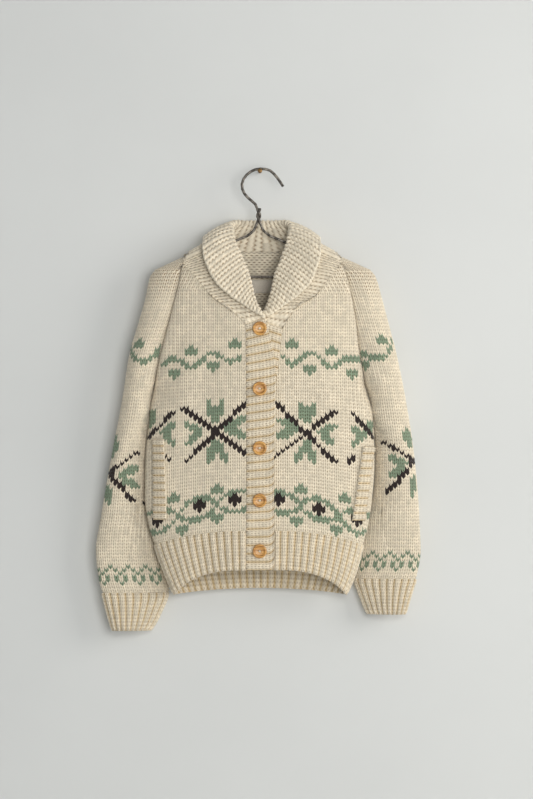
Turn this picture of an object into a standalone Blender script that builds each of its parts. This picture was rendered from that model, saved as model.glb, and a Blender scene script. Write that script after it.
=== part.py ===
"""Child's hand-knitted shawl-collar cardigan, hanging on a wire hanger from a nail.

The garment hangs flat in the XZ plane with its front towards -Y. Right and left are the
wearer's, so the right front is at -X. The origin is where the hook rests on the nail.
Sizes are in millimetres here and become metres where a mesh is made.
"""

import math

import bmesh
import bpy
import numpy as np

MM = 0.001

# Cloth
WALL = 3.5            # knitted wall
SEAM = 0.4            # gap between two pieces at a seam
CORNER_EASE = 2.0     # more room where a raglan seam meets the neckline
LAID = 0.3            # gap under a piece that lies on another
RIB = 1.8             # height of a rib over the wall
RIB_PITCH = 11.4
FRONT_RIBS, BACK_RIBS, CUFF_RIBS = 14, 29, 19
GARTER = 1.2          # height of a garter ridge
LIFT = 7.4            # how far the buttonhole side lies over the button side

# Heights
UNDERARM = -322.0
SHOULDER = -150.0     # highest level ring of a sleeve, just under the shoulder point
RAGLAN_FRONT = -136.0
RAGLAN_BACK = -131.0
NECK_BACK = -122.0

# Bands
BAND_BOTTOM = -599.0
TOP_BAND_TOP = (-232.5, -223.3)       # at its right and left edges, against the collar
UNDER_BAND_TOP = (-224.0, -239.0)
BUTTON_X = -0.5
BUTTON_Z = (-238.5, -328.0, -416.5, -494.5, -570.0)
BUTTON_RADIUS = 10.5
BUTTON_THICK = 4.2
THREAD_HOLE = 1.6

# Hanger
WIRE = 1.75           # wire radius
NAIL = 1.3
NAIL_HEAD = 3.4
NAIL_BACK = 43.0
NAIL_FRONT = -7.0

COLOURS = {
    "cream_wool": ((0.74, 0.66, 0.50, 1.0), 0.95, 0.0),
    "ochre_button": ((0.60, 0.30, 0.06, 1.0), 0.45, 0.0),
    "dark_wire": ((0.10, 0.09, 0.08, 1.0), 0.45, 0.9),
    "old_brass": ((0.35, 0.22, 0.10, 1.0), 0.5, 0.9),
    "blank_tape": ((0.55, 0.50, 0.44, 1.0), 0.85, 0.0),
}


def table(names, rows):
    """Short table with named columns, sorted by its first one."""
    rows = np.array(sorted(rows), dtype=float)
    return dict(zip(names.split(), rows.T))


def read(rows, column, at):
    """Column's value along a smooth curve through the rows, with no overshoot between them."""
    knots, values = rows[next(iter(rows))], rows[column]
    secant = np.diff(values) / np.diff(knots)
    before, after = secant[:-1], secant[1:]
    same = before * after > 0
    inner = np.where(same, 2 * before * after / np.where(same, before + after, 1.0), 0.0)
    slope = np.concatenate([secant[:1], inner, secant[-1:]])
    at = np.clip(np.asarray(at, dtype=float), knots[0], knots[-1])
    i = np.clip(np.searchsorted(knots, at) - 1, 0, len(knots) - 2)
    width = knots[i + 1] - knots[i]
    t = (at - knots[i]) / width
    return (
        values[i] * (1 + 2 * t) * (1 - t) ** 2
        + slope[i] * width * t * (1 - t) ** 2
        + values[i + 1] * (3 - 2 * t) * t ** 2
        + slope[i + 1] * width * t ** 2 * (t - 1)
    )


# Body: right and left edges are the side seams, and the raglan seams above the underarm.
# Front and back are depths at the middle, and seam is the half-depth at the edges.
BODY = table("z right left front back seam", [
    (-120, -107.0, 113.0, 27, 22, 17),
    (-136, -114.0, 121.0, 31, 23, 18),
    (-177, -123.0, 134.0, 37, 25, 20),
    (-228, -136.0, 143.0, 41, 26, 19),
    (-274, -148.5, 148.5, 43, 26, 15),
    (-305, -155.0, 154.0, 43, 26, 8),
    (-322, -158.0, 157.0, 43, 26, 0.4),
    (-360, -164.0, 166.0, 43, 26, 0.2),
    (-405, -169.5, 171.3, 43, 26, 0.2),
    (-441, -171.5, 171.3, 43, 26, 0.2),
    (-488, -172.0, 168.0, 42, 26, 0.2),
    (-530, -167.0, 162.5, 41, 26, 0.2),
    (-560, -159.0, 155.0, 40, 25, 0.2),
    (-600, -144.0, 144.0, 38, 24, 0.2),
    (-640, -127.0, 128.0, 36, 22, 0.2),
])

# Sleeves: outer edges and half-depth, and below the underarm the hidden inner edge.
OUTER = table("z right left depth", [
    (-150, -157.0, 165.0, 20),
    (-160, -164.5, 173.0, 21),
    (-190, -171.0, 182.0, 23),
    (-228, -181.5, 192.0, 25),
    (-274, -195.0, 204.0, 26),
    (-348, -207.0, 219.0, 27),
    (-432, -223.0, 231.5, 26),
    (-511, -237.0, 238.5, 22),
    (-571, -246.0, 241.0, 18),
    (-613, -242.0, 234.0, 16),
    (-634, -236.5, 227.0, 15),
    (-667, -228.0, 217.5, 14),
    (-692, -221.0, 210.0, 14),
])
INNER = table("z right left inner_y outer_y", [
    (-322, -158.6, 157.6, 0, 0),
    (-345, -163.5, 165.0, 8, 2),
    (-405, -171.0, 173.5, 12, 2),
    (-460, -173.2, 172.8, 16, 3),
    (-488, -172.0, 170.0, 21, 4),
    (-530, -159.0, 153.5, 28, 5),
    (-571, -142.0, 141.0, 30, 6),
    (-613, -138.0, 141.0, 29, 7),
    (-634, -138.0, 148.0, 27, 7),
    (-667, -150.0, 161.0, 24, 8),
    (-692, -164.0, 170.0, 20, 8),
])
CUFF_TOP = {"right": -634.5, "left": -613.5}
CUFF_BOTTOM = {"right": -691.5, "left": -667.0}

# Neckline of each front, from the raglan seam down to the band.
NECK_RIGHT = table("z x", [(-136, -114), (-159, -98), (-189, -73), (-212, -41), (-232, -21)])
NECK_LEFT = table("z x", [(-136, 121), (-165, 101), (-189, 83), (-207, 55), (-225, 41), (-238, 34)])

# Bands: right and left edges of each.
TOP_BAND = table("z right left", [
    (-222, -21.5, 7.0),
    (-256, -21.0, 16.5),
    (-302, -20.5, 22.8),
    (-441, -20.0, 21.0),
    (-600, -20.5, 21.5),
])
UNDER_BAND = table("z right left", [
    (-222, -9.0, 35.0),
    (-256, -15.0, 31.0),
    (-302, -19.0, 26.0),
    (-340, -19.5, 20.0),
    (-600, -19.5, 20.0),
])

# Pocket edges: ribbed strips near the side seams.
POCKETS = {
    "right": table("z right left", [(-403, -159.0, -142.5), (-524, -158.0, -139.0)]),
    "left": table("z right left", [(-414, 153.0, 169.0), (-525, 137.0, 155.5)]),
}

# Shawl collar along its length: w runs from the right front's band (0) round the back of
# the neck (0.5) to the left front's band (1). The fold is the edge that shows, and the free
# edge hangs outside it. Out points away from the neck, and roll is how far the collar has
# turned over, in degrees.
COLLAR = table("w fold_x fold_y fold_z edge_x edge_y edge_z out_x out_y out_z roll", [
    (0.00, 7.0, -47, -222, 12.0, -52, -225, 0, -1, 0, 50),
    (0.06, 0.0, -44, -208, -5.0, -50, -216, 0, -1, 0, 150),
    (0.12, -6.6, -40, -193, -18.0, -49, -208, 0, -1, 0.05, 180),
    (0.20, -14.0, -32, -162, -45.0, -47, -190, -0.1, -1, 0.15, 180),
    (0.28, -25.0, -22, -134, -70.0, -43, -165, -0.3, -0.9, 0.4, 180),
    (0.35, -37.0, -11, -104, -82.0, -28, -136, -0.5, -0.5, 0.8, 180),
    (0.40, -39.0, 2, -85, -79.5, -4, -114, -0.6, 0, 0.9, 180),
    (0.45, -27.0, 16, -77, -66.0, 22, -116, -0.4, 0.7, 0.6, 180),
    (0.50, 1.5, 21, -75, 1.5, 33, -130, 0, 1, 0.25, 180),
    (0.55, 30.0, 16, -77, 69.0, 22, -116, 0.4, 0.7, 0.6, 180),
    (0.60, 42.0, 2, -86, 84.5, -4, -115, 0.6, 0, 0.9, 180),
    (0.65, 40.0, -11, -104, 87.0, -28, -138, 0.5, -0.5, 0.8, 180),
    (0.72, 31.0, -20, -134, 79.0, -41, -165, 0.3, -0.9, 0.4, 180),
    (0.80, 21.0, -26, -160, 60.0, -43, -187, 0.1, -1, 0.15, 180),
    (0.88, 14.0, -31, -190, 34.0, -42, -206, 0, -1, 0.05, 180),
    (0.94, 6.0, -35, -210, 17.0, -42, -217, 0, -1, 0, 150),
    (1.00, -6.0, -38, -224, -9.0, -41, -226, 0, -1, 0, 50),
])
COLLAR_SHOULDER = (0.36, 0.42)     # where the collar's seam leaves the right front and the sleeve
FOLD_RADIUS = 2.9
COLLAR_RIDGES = 62

# Columns of each panel's grid
FRONT_COLUMNS = 11
BACK_COLUMNS = 19
SLEEVE_COLUMNS = 19

BOX = 0.75            # how square the body's section is: 1 is an ellipse
FOLDED = np.linspace(0, 1, 721)


def spread(line):
    """Share of a line's length that lies before each of its points."""
    steps = np.linalg.norm(np.diff(line, axis=0), axis=1)
    return np.concatenate([[0.0], np.cumsum(steps)]) / steps.sum()


BODY_SHARE = spread(np.stack([
    -165 * np.cos(math.pi * FOLDED),
    42 * np.sin(math.pi * FOLDED) ** BOX,
], axis=1))
SLEEVE_SHARE = spread(np.stack([
    45 * np.cos(2 * math.pi * FOLDED),
    18 * np.sin(2 * math.pi * FOLDED),
], axis=1))


def unit(v):
    return v / np.maximum(np.linalg.norm(v, axis=-1, keepdims=True), 1e-9)


def smooth_step(x):
    x = np.clip(x, 0, 1)
    return x * x * (3 - 2 * x)


def body(side, share, z):
    """Point of the body at a share of its width: 0 at the right edge, 1 at the left."""
    turn = np.interp(share, BODY_SHARE, FOLDED) * math.pi
    right, left, seam = read(BODY, "right", z), read(BODY, "left", z), read(BODY, "seam", z)
    depth = read(BODY, "front" if side < 0 else "back", z)
    x = right + (left - right) * (1 - np.cos(turn)) / 2
    y = side * (seam + (depth - seam) * np.abs(np.sin(turn)) ** BOX)
    return np.stack([x, y, z + 0 * x], axis=-1)


def share_at(x, z):
    """Share of the body's width at a place x."""
    right, left = read(BODY, "right", z), read(BODY, "left", z)
    turn = np.arccos(np.clip(1 - 2 * (x - right) / (left - right), -1, 1))
    return np.interp(turn / math.pi, FOLDED, BODY_SHARE)


def lift(x):
    """How far the buttonhole side stands in front of the button side."""
    return LIFT * smooth_step((x + 95) / 70)


def neck_height(wearer, u):
    """Height of a front's neckline: u is 0 at the raglan seam and 1 at the band."""
    rows = NECK_RIGHT if wearer == "right" else NECK_LEFT
    share = share_at(rows["x"], rows["z"])
    band = band_share(wearer, rows["z"])
    if wearer == "right":
        across = share / band
    else:
        across = (1 - share) / (1 - band)
    order = np.argsort(across)
    line = {"u": across[order], "z": rows["z"][order]}
    return read(line, "z", u)


def band_share(wearer, z):
    """Share of the width where a front meets its band."""
    rows, column = (TOP_BAND, "right") if wearer == "right" else (UNDER_BAND, "left")
    return share_at(read(rows, column, z), z)


def front(wearer, u, z):
    """Point of a front: u is 0 at the side or raglan seam and 1 at the band."""
    if wearer == "right":
        point = body(-1, u * band_share(wearer, z), z)
        point[..., 1] -= lift(point[..., 0])
        return point
    return body(-1, 1 - u * (1 - band_share(wearer, z)), z)


def hem_levels(kind, u):
    """Top and bottom heights of a hem rib, across a front (u 0 to 1) or the back."""
    if kind == "back":
        across = np.abs(np.cos(math.pi * np.interp(u, BODY_SHARE, FOLDED)))
        return -555 - 7 * across ** 2, -628 - 9 * across ** 2
    across = np.cos(math.pi / 2 * np.interp(u / 2, BODY_SHARE, FOLDED) * 2)
    low = np.clip((across - 0.13) / 0.87, 0, 1)
    return -540 - 22 * across ** 2, -599 - 38 * low ** 2


def neck_back(u):
    return NECK_BACK + (RAGLAN_BACK - NECK_BACK) * (2 * u - 1) ** 2


def sleeve_ring(wearer, turn, z):
    """Point of a sleeve on a level ring: turn is 0 at the inner or front seam, 0.5 at the
    outer edge and 1 at the back seam. Above the underarm the ring is open towards the body."""
    sign = -1 if wearer == "right" else 1
    above = z > UNDERARM + 0.01
    outer, depth = np.abs(read(OUTER, wearer, z)), read(OUTER, "depth", z)
    inner = np.abs(np.where(above, read(BODY, wearer, z), read(INNER, wearer, z)))
    inner = inner + np.where(above, SEAM, 0)
    mouth = np.where(above, np.minimum(read(BODY, "seam", z) / depth, 0.999), 0.0)
    start = np.arcsin(mouth)
    length = (outer - inner) / (1 + np.cos(start))
    angle = start + (2 * math.pi - 2 * start) * np.interp(turn, SLEEVE_SHARE, FOLDED)
    inner_y = np.where(above, 0.0, read(INNER, "inner_y", z))
    outer_y = np.where(above, 0.0, read(INNER, "outer_y", z))
    x = outer - length - length * np.cos(angle)
    middle = (inner_y + outer_y) / 2 + (inner_y - outer_y) / 2 * np.cos(angle)
    y = middle - depth * np.sin(angle)
    return np.stack([sign * x, y, z + 0 * x], axis=-1)


def shoulder_edge(wearer, turn):
    """Sleeve's short neck edge, from the front raglan seam over the shoulder to the back one."""
    start = raglan(wearer, -1, RAGLAN_FRONT)
    end = raglan(wearer, 1, RAGLAN_BACK)
    top = np.array([-105.0 if wearer == "right" else 112.0, -1.0, -126.0])
    pull = 2 * top - (start + end) / 2
    t = turn[..., None]
    return start * (1 - t) ** 2 + 2 * t * (1 - t) * pull + end * t ** 2


def raglan(wearer, side, z):
    """Edge of a sleeve along a raglan seam."""
    sign = -1 if wearer == "right" else 1
    z = np.asarray(z, dtype=float)
    x = read(BODY, wearer, z) + sign * SEAM
    return np.stack([x, side * read(BODY, "seam", z), z + 0 * x], axis=-1)


def sleeve(wearer, turn, v):
    """Point of a sleeve: v is a height up to SHOULDER, and from there 0 to 1 up to the neck."""
    turn, v = np.broadcast_arrays(np.asarray(turn, float), np.asarray(v, float))
    rise = np.clip(v - SHOULDER, 0, 1)
    low = sleeve_ring(wearer, turn, np.minimum(v, SHOULDER))
    r = rise[..., None]
    t = turn[..., None]
    high = low * (1 - r) + shoulder_edge(wearer, turn) * r
    front_seam = raglan(wearer, -1, SHOULDER + rise * (RAGLAN_FRONT - SHOULDER))
    back_seam = raglan(wearer, 1, SHOULDER + rise * (RAGLAN_BACK - SHOULDER))
    zero, one = np.zeros_like(turn), np.ones_like(turn)
    ring = sleeve_ring(wearer, zero, SHOULDER + zero), sleeve_ring(wearer, one, SHOULDER + zero)
    start = ring[0] * (1 - r) + shoulder_edge(wearer, zero) * r
    end = ring[1] * (1 - r) + shoulder_edge(wearer, one) * r
    return high + (1 - t) * (front_seam - start) * r + t * (back_seam - end) * r


def on_columns(edge, columns, u):
    """Point of an edge that runs straight from one column of its panel to the next."""
    steps = np.linspace(0, 1, columns)
    corners = edge(steps)
    return np.stack([np.interp(u, steps, corners[:, axis]) for axis in range(3)], axis=-1)


def collar_seam(w):
    """Point where the collar is sewn on: front necklines, sleeve tops and back neckline."""
    w = np.atleast_1d(np.asarray(w, float))
    first, last = COLLAR_SHOULDER
    points = np.zeros(w.shape + (3,))
    for wearer, along in (("right", w), ("left", 1 - w)):
        on_front = (along <= first) & (along < 0.5)
        u = 1 - along[on_front] / first
        points[on_front] = on_columns(
            lambda a, wearer=wearer: front(wearer, a, neck_height(wearer, a)), FRONT_COLUMNS, u)
        over = (along > first) & (along < last)
        turn = (along[over] - first) / (last - first)
        points[over] = on_columns(
            lambda a, wearer=wearer: shoulder_edge(wearer, a), SLEEVE_COLUMNS, turn)
    behind = (w >= last) & (w <= 1 - last)
    u = (w[behind] - last) / (1 - 2 * last)
    points[behind] = on_columns(lambda a: body(1, a, neck_back(a)), BACK_COLUMNS, u)
    return points


def seam_normal(w):
    """Outward direction of the cloth that the collar is sewn to."""
    w = np.atleast_1d(np.asarray(w, float))
    first, last = COLLAR_SHOULDER
    out = np.zeros(w.shape + (3,))
    for wearer, along in (("right", w), ("left", 1 - w)):
        sign = 1 if wearer == "right" else -1
        on_front = (along <= first) & (along < 0.5)
        u = 1 - along[on_front] / first
        panel = normals(lambda a, b: front(wearer, a, b), u, neck_height(wearer, u), 0.01, 0.8,
                        (0.0, 1.0))
        out[on_front] = panel * sign
        over = (along > first) & (along < last)
        turn = (along[over] - first) / (last - first)
        step = shoulder_edge(wearer, turn + 0.02) - shoulder_edge(wearer, turn - 0.02)
        drop = sleeve(wearer, turn, SHOULDER + 1 + 0 * turn)
        drop = drop - sleeve(wearer, turn, SHOULDER + 0.8 + 0 * turn)
        out[over] = unit(np.cross(step, drop)) * sign
    behind = (w >= last) & (w <= 1 - last)
    u = (w[behind] - last) / (1 - 2 * last)
    out[behind] = -normals(lambda a, b: body(1, a, b), u, neck_back(u), 0.01, 0.8, (0.0, 1.0))
    return out


def collar(w, k):
    """Middle of the collar's wall: k is 0 at the seam, about 0.4 to 0.6 round the fold and
    1 at the free edge. It is a stand, an arc at the fold and a fall outside the stand."""
    shape = np.broadcast(w, k).shape
    w = np.broadcast_to(w, shape).ravel()
    k = np.broadcast_to(k, shape).ravel()
    seam = collar_seam(w)
    fold = np.stack([read(COLLAR, "fold_" + axis, w) for axis in "xyz"], axis=-1)
    edge = np.stack([read(COLLAR, "edge_" + axis, w) for axis in "xyz"], axis=-1)
    roll = np.radians(read(COLLAR, "roll", w))[:, None]
    up = unit(fold - seam)
    hint = np.stack([read(COLLAR, "out_" + axis, w) for axis in "xyz"], axis=-1)
    out = unit(hint - (hint * up).sum(-1, keepdims=True) * up)
    base = seam - seam_normal(w) * (WALL / 2)
    turn_at = fold - up * (FOLD_RADIUS + WALL / 2)
    up = unit(turn_at - base)
    out = unit(out - (out * up).sum(-1, keepdims=True) * up)
    angle = np.clip((k - 0.4) / 0.2, 0, 1)[:, None] * roll
    arc = turn_at + FOLD_RADIUS * (np.sin(angle) * up + (1 - np.cos(angle)) * out)
    stand = base + (turn_at - base) * np.clip(k / 0.4, 0, 1)[:, None]
    end = turn_at + FOLD_RADIUS * (np.sin(roll) * up + (1 - np.cos(roll)) * out)
    height = ((edge - base) * out).sum(-1, keepdims=True)
    edge = edge + out * np.maximum(0, 2 * FOLD_RADIUS + 0.5 - height)
    rolled = smooth_step((roll - 0.8) / 2.0)
    ahead = np.cos(roll) * up + np.sin(roll) * out
    target = end + ahead * 6.0 * (1 - rolled) + (edge - end) * rolled
    fall_k = np.clip((k - 0.6) / 0.4, 0, 1)[:, None]
    fall = end + (target - end) * fall_k + out * 3.0 * rolled * 4 * fall_k * (1 - fall_k)
    point = np.where(k[:, None] < 0.4, stand, np.where(k[:, None] > 0.6, fall, arc))
    return point.reshape(shape + (3,))


def normals(surface, u, v, du, dv, limits=None):
    """Unit normals of a surface on a grid, from points just beside each one. Where a limit
    is given for u, it isn't stepped past."""
    low, high = u - du, u + du
    if limits is not None:
        low, high = np.maximum(low, limits[0]), np.minimum(high, limits[1])
    across = surface(high, v) - surface(low, v)
    along = surface(u, v + dv) - surface(u, v - dv)
    return unit(np.cross(across, along))


def ridge(wearer, side):
    """Direction half-way between a panel's face and the shoulder's, where they meet."""
    return unit(np.array([(-0.5 if wearer == "right" else 0.5), 0.7 * side, 0.5]))


def pulled_in(points, edges, distance):
    """Moves the named edges of a grid inwards along the surface: u0, u1, v0 and v1."""
    points = points.copy()
    moves = {
        "u0": (np.s_[:, 0], np.s_[:, 1]),
        "u1": (np.s_[:, -1], np.s_[:, -2]),
        "v0": (np.s_[0], np.s_[1]),
        "v1": (np.s_[-1], np.s_[-2]),
    }
    for edge in edges:
        at, beside = moves[edge]
        points[at] = points[at] + distance * unit(points[beside] - points[at])
    return points


def wall_mesh(name, outer, inner, joined_rows=0, closed=False):
    """Closed wall between two grids of points. A closed grid meets itself across its columns,
    and joined_rows are the first rows of an open grid whose two ends are one point."""
    rows, columns = outer.shape[:2]
    last = columns if closed else columns - 1

    def index(i, j, layer):
        if closed or (j == columns - 1 and i < joined_rows):
            j %= columns if closed else columns - 1
        return (layer * rows + i) * columns + j

    faces = []
    for i in range(rows - 1):
        for j in range(last):
            ring = [(i, j), (i, j + 1), (i + 1, j + 1), (i + 1, j)]
            faces.append([index(a, b, 0) for a, b in ring])
            faces.append([index(a, b, 1) for a, b in reversed(ring)])
    for j in range(last):
        for i, flip in ((0, True), (rows - 1, False)):
            rim = [index(i, j, 0), index(i, j + 1, 0), index(i, j + 1, 1), index(i, j, 1)]
            faces.append(rim[::-1] if flip else rim)
    if not closed:
        for i in range(max(joined_rows - 1, 0), rows - 1):
            for j, flip in ((0, False), (columns - 1, True)):
                rim = [index(i, j, 0), index(i + 1, j, 0), index(i + 1, j, 1), index(i, j, 1)]
                faces.append(rim[::-1] if flip else rim)
    points = np.concatenate([outer.reshape(-1, 3), inner.reshape(-1, 3)]) * MM
    mesh = bpy.data.meshes.new(name)
    mesh.from_pydata(points.tolist(), [], faces)
    shape = bmesh.new()
    shape.from_mesh(mesh)
    loose = [vertex for vertex in shape.verts if not vertex.link_faces]
    bmesh.ops.delete(shape, geom=loose, context="VERTS")
    bmesh.ops.recalc_face_normals(shape, faces=shape.faces)
    shape.to_mesh(mesh)
    shape.free()
    return mesh


def material(name):
    found = bpy.data.materials.get(name)
    if found:
        return found
    colour, roughness, metallic = COLOURS[name]
    made = bpy.data.materials.new(name)
    made.use_nodes = True
    shader = made.node_tree.nodes["Principled BSDF"]
    shader.inputs["Base Color"].default_value = colour
    shader.inputs["Roughness"].default_value = roughness
    shader.inputs["Metallic"].default_value = metallic
    return made


def piece(name, mesh, finish, collection):
    """One named object with its material, in the cardigan's collection."""
    mesh.materials.append(material(finish))
    thing = bpy.data.objects.new(name, mesh)
    collection.objects.link(thing)
    return thing


def ribs(share, count):
    """Rib height across a band: a ridge for each rib, sunk between two of them."""
    return RIB * (0.5 - 0.5 * np.cos(2 * math.pi * count * share))


def make_front(wearer, collection):
    """A front panel from its hem rib to the neckline."""
    u = np.linspace(0, 1, FRONT_COLUMNS)[None, :]
    v = np.linspace(0, 1, 17)[:, None]
    top = neck_height(wearer, u)
    z = hem_levels("front", u)[0] * (1 - v) + top * v
    u = u + 0 * z
    add_sheet(f"front_{wearer}", lambda a, b: front(wearer, a, b), u, z,
              0.0, "u0 u1 v0 v1", wearer == "left", collection)


def make_hem(kind, name, surface, count, flip, collection):
    """A hem rib: two points a rib, sunk and raised."""
    u = np.linspace(0, 1, 2 * count + 1)[None, :]
    v = np.linspace(0, 1, 4)[:, None]
    top, bottom = hem_levels(kind, u)
    z = bottom * (1 - v) + top * v
    u = u + 0 * z
    add_sheet(name, surface, u, z, ribs(u, count), "u0 u1 v1", flip, collection)


def add_sheet(name, surface, u, z, relief, edges, flip, collection, wall=WALL, lifted=0.0):
    """Wall on a surface of u and height: the relief stands on its outer side."""
    points = surface(u, z)
    out = normals(surface, u, z, 0.004, 0.8, (0.0, 1.0)) * (-1 if flip else 1)
    side_seam = (u < 1e-6) | (("back" in name) & (u > 1 - 1e-6))
    below = side_seam & (z <= UNDERARM + 1)
    if "front" in name or "back" in name:
        out[below] = unit(out[below] * [1, 0, 1])
    if name == "back":
        out[-1, 0], out[-1, -1] = ridge("right", 1), ridge("left", 1)
    if name in ("front_right", "front_left"):
        out[-1, 0] = ridge(name[6:], -1)
    points = pulled_in(points, edges.split(), SEAM / 2)
    if name == "back":
        points[-1:] = pulled_in(points[-1:], ["u0", "u1"], CORNER_EASE)
    relief = (np.zeros_like(u) + relief + lifted)[..., None]
    outer, inner = points + out * relief, points + out * (lifted - wall)
    piece(name, wall_mesh(name, outer, inner), "cream_wool", collection)


def make_back(collection):
    u = np.linspace(0, 1, BACK_COLUMNS)[None, :]
    v = np.linspace(0, 1, 15)[:, None]
    z = hem_levels("back", u)[0] * (1 - v) + neck_back(u) * v
    u = u + 0 * z
    add_sheet("back", lambda a, b: body(1, a, b), u, z, 0.0, "u0 u1 v0 v1", True, collection)


def make_sleeve(wearer, collection):
    """A sleeve from its cuff to the neck: a tube up to the underarm, open above it."""
    start = CUFF_TOP[wearer]
    tube = np.linspace(start, UNDERARM, 9)
    open_part = np.array([-316, -308, -296, -270, -232, -190, -165, SHOULDER])
    levels = np.concatenate([tube, open_part, SHOULDER + np.array([0.35, 0.7, 1.0])])
    turn = np.linspace(0, 1, SLEEVE_COLUMNS)[None, :] + 0 * levels[:, None]
    v = levels[:, None] + 0 * turn
    points = sleeve(wearer, turn, v)
    step = np.where(v > SHOULDER - 1, 0.02, 0.8)

    def wrapped(a, b):
        tube_part = b <= UNDERARM + 0.01
        return sleeve(wearer, np.where(tube_part, a % 1.0, np.clip(a, 0, 1)), b)

    low, high = turn - 0.01, turn + 0.01
    across = wrapped(high, v) - wrapped(low, v)
    along = wrapped(turn, v + step) - wrapped(turn, v - step)
    at_neck = v > SHOULDER + 0.99
    along = np.where(at_neck[..., None], points - wrapped(turn, v - step), along)
    out = unit(np.cross(across, along)) * (1 if wearer == "left" else -1)
    row = len(tube) - 1
    side = -1 if wearer == "right" else 1
    out[row, 0] = out[row, -1] = (-side, 0, 0)
    for row, rise in enumerate(levels - SHOULDER):
        if rise > 0:
            for column, side in ((0, -1), (-1, 1)):
                out[row, column] = unit(
                    out[row, column] * (1 - rise) + ridge(wearer, side) * rise)
    points = pulled_in(points, ["v0", "v1"], SEAM / 2)
    open_rows = points[len(tube):]
    points[len(tube):] = pulled_in(open_rows, ["u0", "u1"], SEAM / 2)
    points[-4:] = pulled_in(points[-4:], ["u0", "u1"], CORNER_EASE)
    mesh = wall_mesh(f"sleeve_{wearer}", points, points - out * WALL, joined_rows=len(tube))
    piece(f"sleeve_{wearer}", mesh, "cream_wool", collection)


def make_cuff(wearer, collection):
    """A ribbed tube that narrows to the wrist."""
    turn = (np.arange(2 * CUFF_RIBS) / (2 * CUFF_RIBS))[None, :]
    levels = np.linspace(CUFF_BOTTOM[wearer], CUFF_TOP[wearer], 4)[:, None]
    turn, v = turn + 0 * levels, levels + 0 * turn

    def ring(a, b):
        return sleeve(wearer, a % 1.0, b)

    out = normals(ring, turn, v, 0.01, 0.8) * (1 if wearer == "left" else -1)
    points = ring(turn, v)
    points = pulled_in(points, ["v1"], SEAM)
    raised = ribs(turn, CUFF_RIBS)[..., None]
    mesh = wall_mesh(f"cuff_{wearer}", points + out * raised, points - out * WALL, closed=True)
    piece(f"cuff_{wearer}", mesh, "cream_wool", collection)


def band_surface(rows, raised):
    """Front strip between the two edges of a band's table, at u 0 to 1."""
    def surface(u, z):
        right, left = read(rows, "right", z), read(rows, "left", z)
        x = right + (left - right) * u
        point = body(-1, share_at(x, z), z)
        point[..., 1] -= lift(x) if raised else 0
        return point
    return surface


def make_band(name, rows, raised, collection):
    """A band knitted sideways: its ribs lie across it, from the hem to the collar."""
    u = np.linspace(0, 1, 4)[None, :]
    right_top, left_top = TOP_BAND_TOP if raised else UNDER_BAND_TOP
    top = right_top + (left_top - right_top) * u
    count = round((right_top - BAND_BOTTOM) / RIB_PITCH)
    v = np.linspace(0, 1, 2 * count + 1)[:, None]
    z = BAND_BOTTOM * (1 - v) + top * v
    edges = "u0 v1" if raised else "u1 v1"
    add_sheet(name, band_surface(rows, raised), u + 0 * z, z,
              ribs(v + 0 * u, count), edges, False, collection)


def make_pocket_edge(wearer, collection):
    """A ribbed strip that lies on a front, made from the front's own points moved out."""
    rows = POCKETS[wearer]
    low, high = rows["z"][0], rows["z"][-1]
    count = round((high - low) / RIB_PITCH)
    u = np.linspace(0, 1, 4)[None, :]
    z = np.linspace(low, high, 2 * count + 1)[:, None] + 0 * u
    v = (z - low) / (high - low)
    surface = band_surface(rows, False)
    add_sheet(f"pocket_edge_{wearer}", surface, u + 0 * z, z, ribs(v, count), "",
              False, collection, lifted=LAID + WALL + 0.5)


def make_collar(collection):
    """The shawl collar, with garter ridges across it on the sides that show."""
    w = np.linspace(0.0, 1.0, 2 * COLLAR_RIDGES + 1)[None, :]
    k = np.array([0, 0.14, 0.4, 0.467, 0.533, 0.6, 0.8, 1.0])[:, None]
    w, k = w + 0 * k, k + 0 * w
    points = collar(w, k)
    across = collar(np.minimum(w + 0.004, 1), k) - collar(np.maximum(w - 0.004, 0), k)
    along = np.gradient(points, axis=0)
    out = unit(np.cross(along, across))
    out[0] = seam_normal(w[0])
    ridge = GARTER * (0.5 - 0.5 * np.cos(2 * math.pi * COLLAR_RIDGES * w))
    shown = (k > 0.3)
    near_seam = (k > 0.05) & (k < 0.3)
    front_side = points - out * (WALL / 2 + ridge * shown)[..., None]
    back_side = points + out * (WALL / 2 + ridge * near_seam)[..., None]
    front_side, back_side = (
        pulled_in(side, ["u0", "u1", "v0"], SEAM) for side in (front_side, back_side)
    )
    piece("collar", wall_mesh("collar", front_side, back_side), "cream_wool", collection)


def make_button(number, z, collection):
    """A turned button with a raised rim, a dished middle and a thread hole."""
    r, thick, hole = BUTTON_RADIUS, BUTTON_THICK, THREAD_HOLE
    profile = [
        (hole, 0.62 * thick), (0.66 * r, 0.70 * thick), (0.80 * r, thick), (0.93 * r, 0.93 * thick),
        (r, 0.55 * thick), (0.90 * r, 0), (hole, 0),
    ]
    mesh = bpy.data.meshes.new(f"button_{number}")
    edges = [(i, (i + 1) % len(profile)) for i in range(len(profile))]
    mesh.from_pydata([(x * MM, 0, h * MM) for x, h in profile], edges, [])
    thing = piece(f"button_{number}", mesh, "ochre_button", collection)
    screw = thing.modifiers.new("turned", "SCREW")
    screw.steps = screw.render_steps = 16
    screw.use_merge_vertices = True
    screw.merge_threshold = 0.00001
    screw.use_smooth_shade = True
    thing.rotation_euler = (math.pi / 2, 0, 0)
    face = band_surface(TOP_BAND, True)(np.array(0.5), np.array(z))
    thing.location = (BUTTON_X * MM, (face[1] - RIB - LAID - 0.4) * MM, z * MM)


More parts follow.
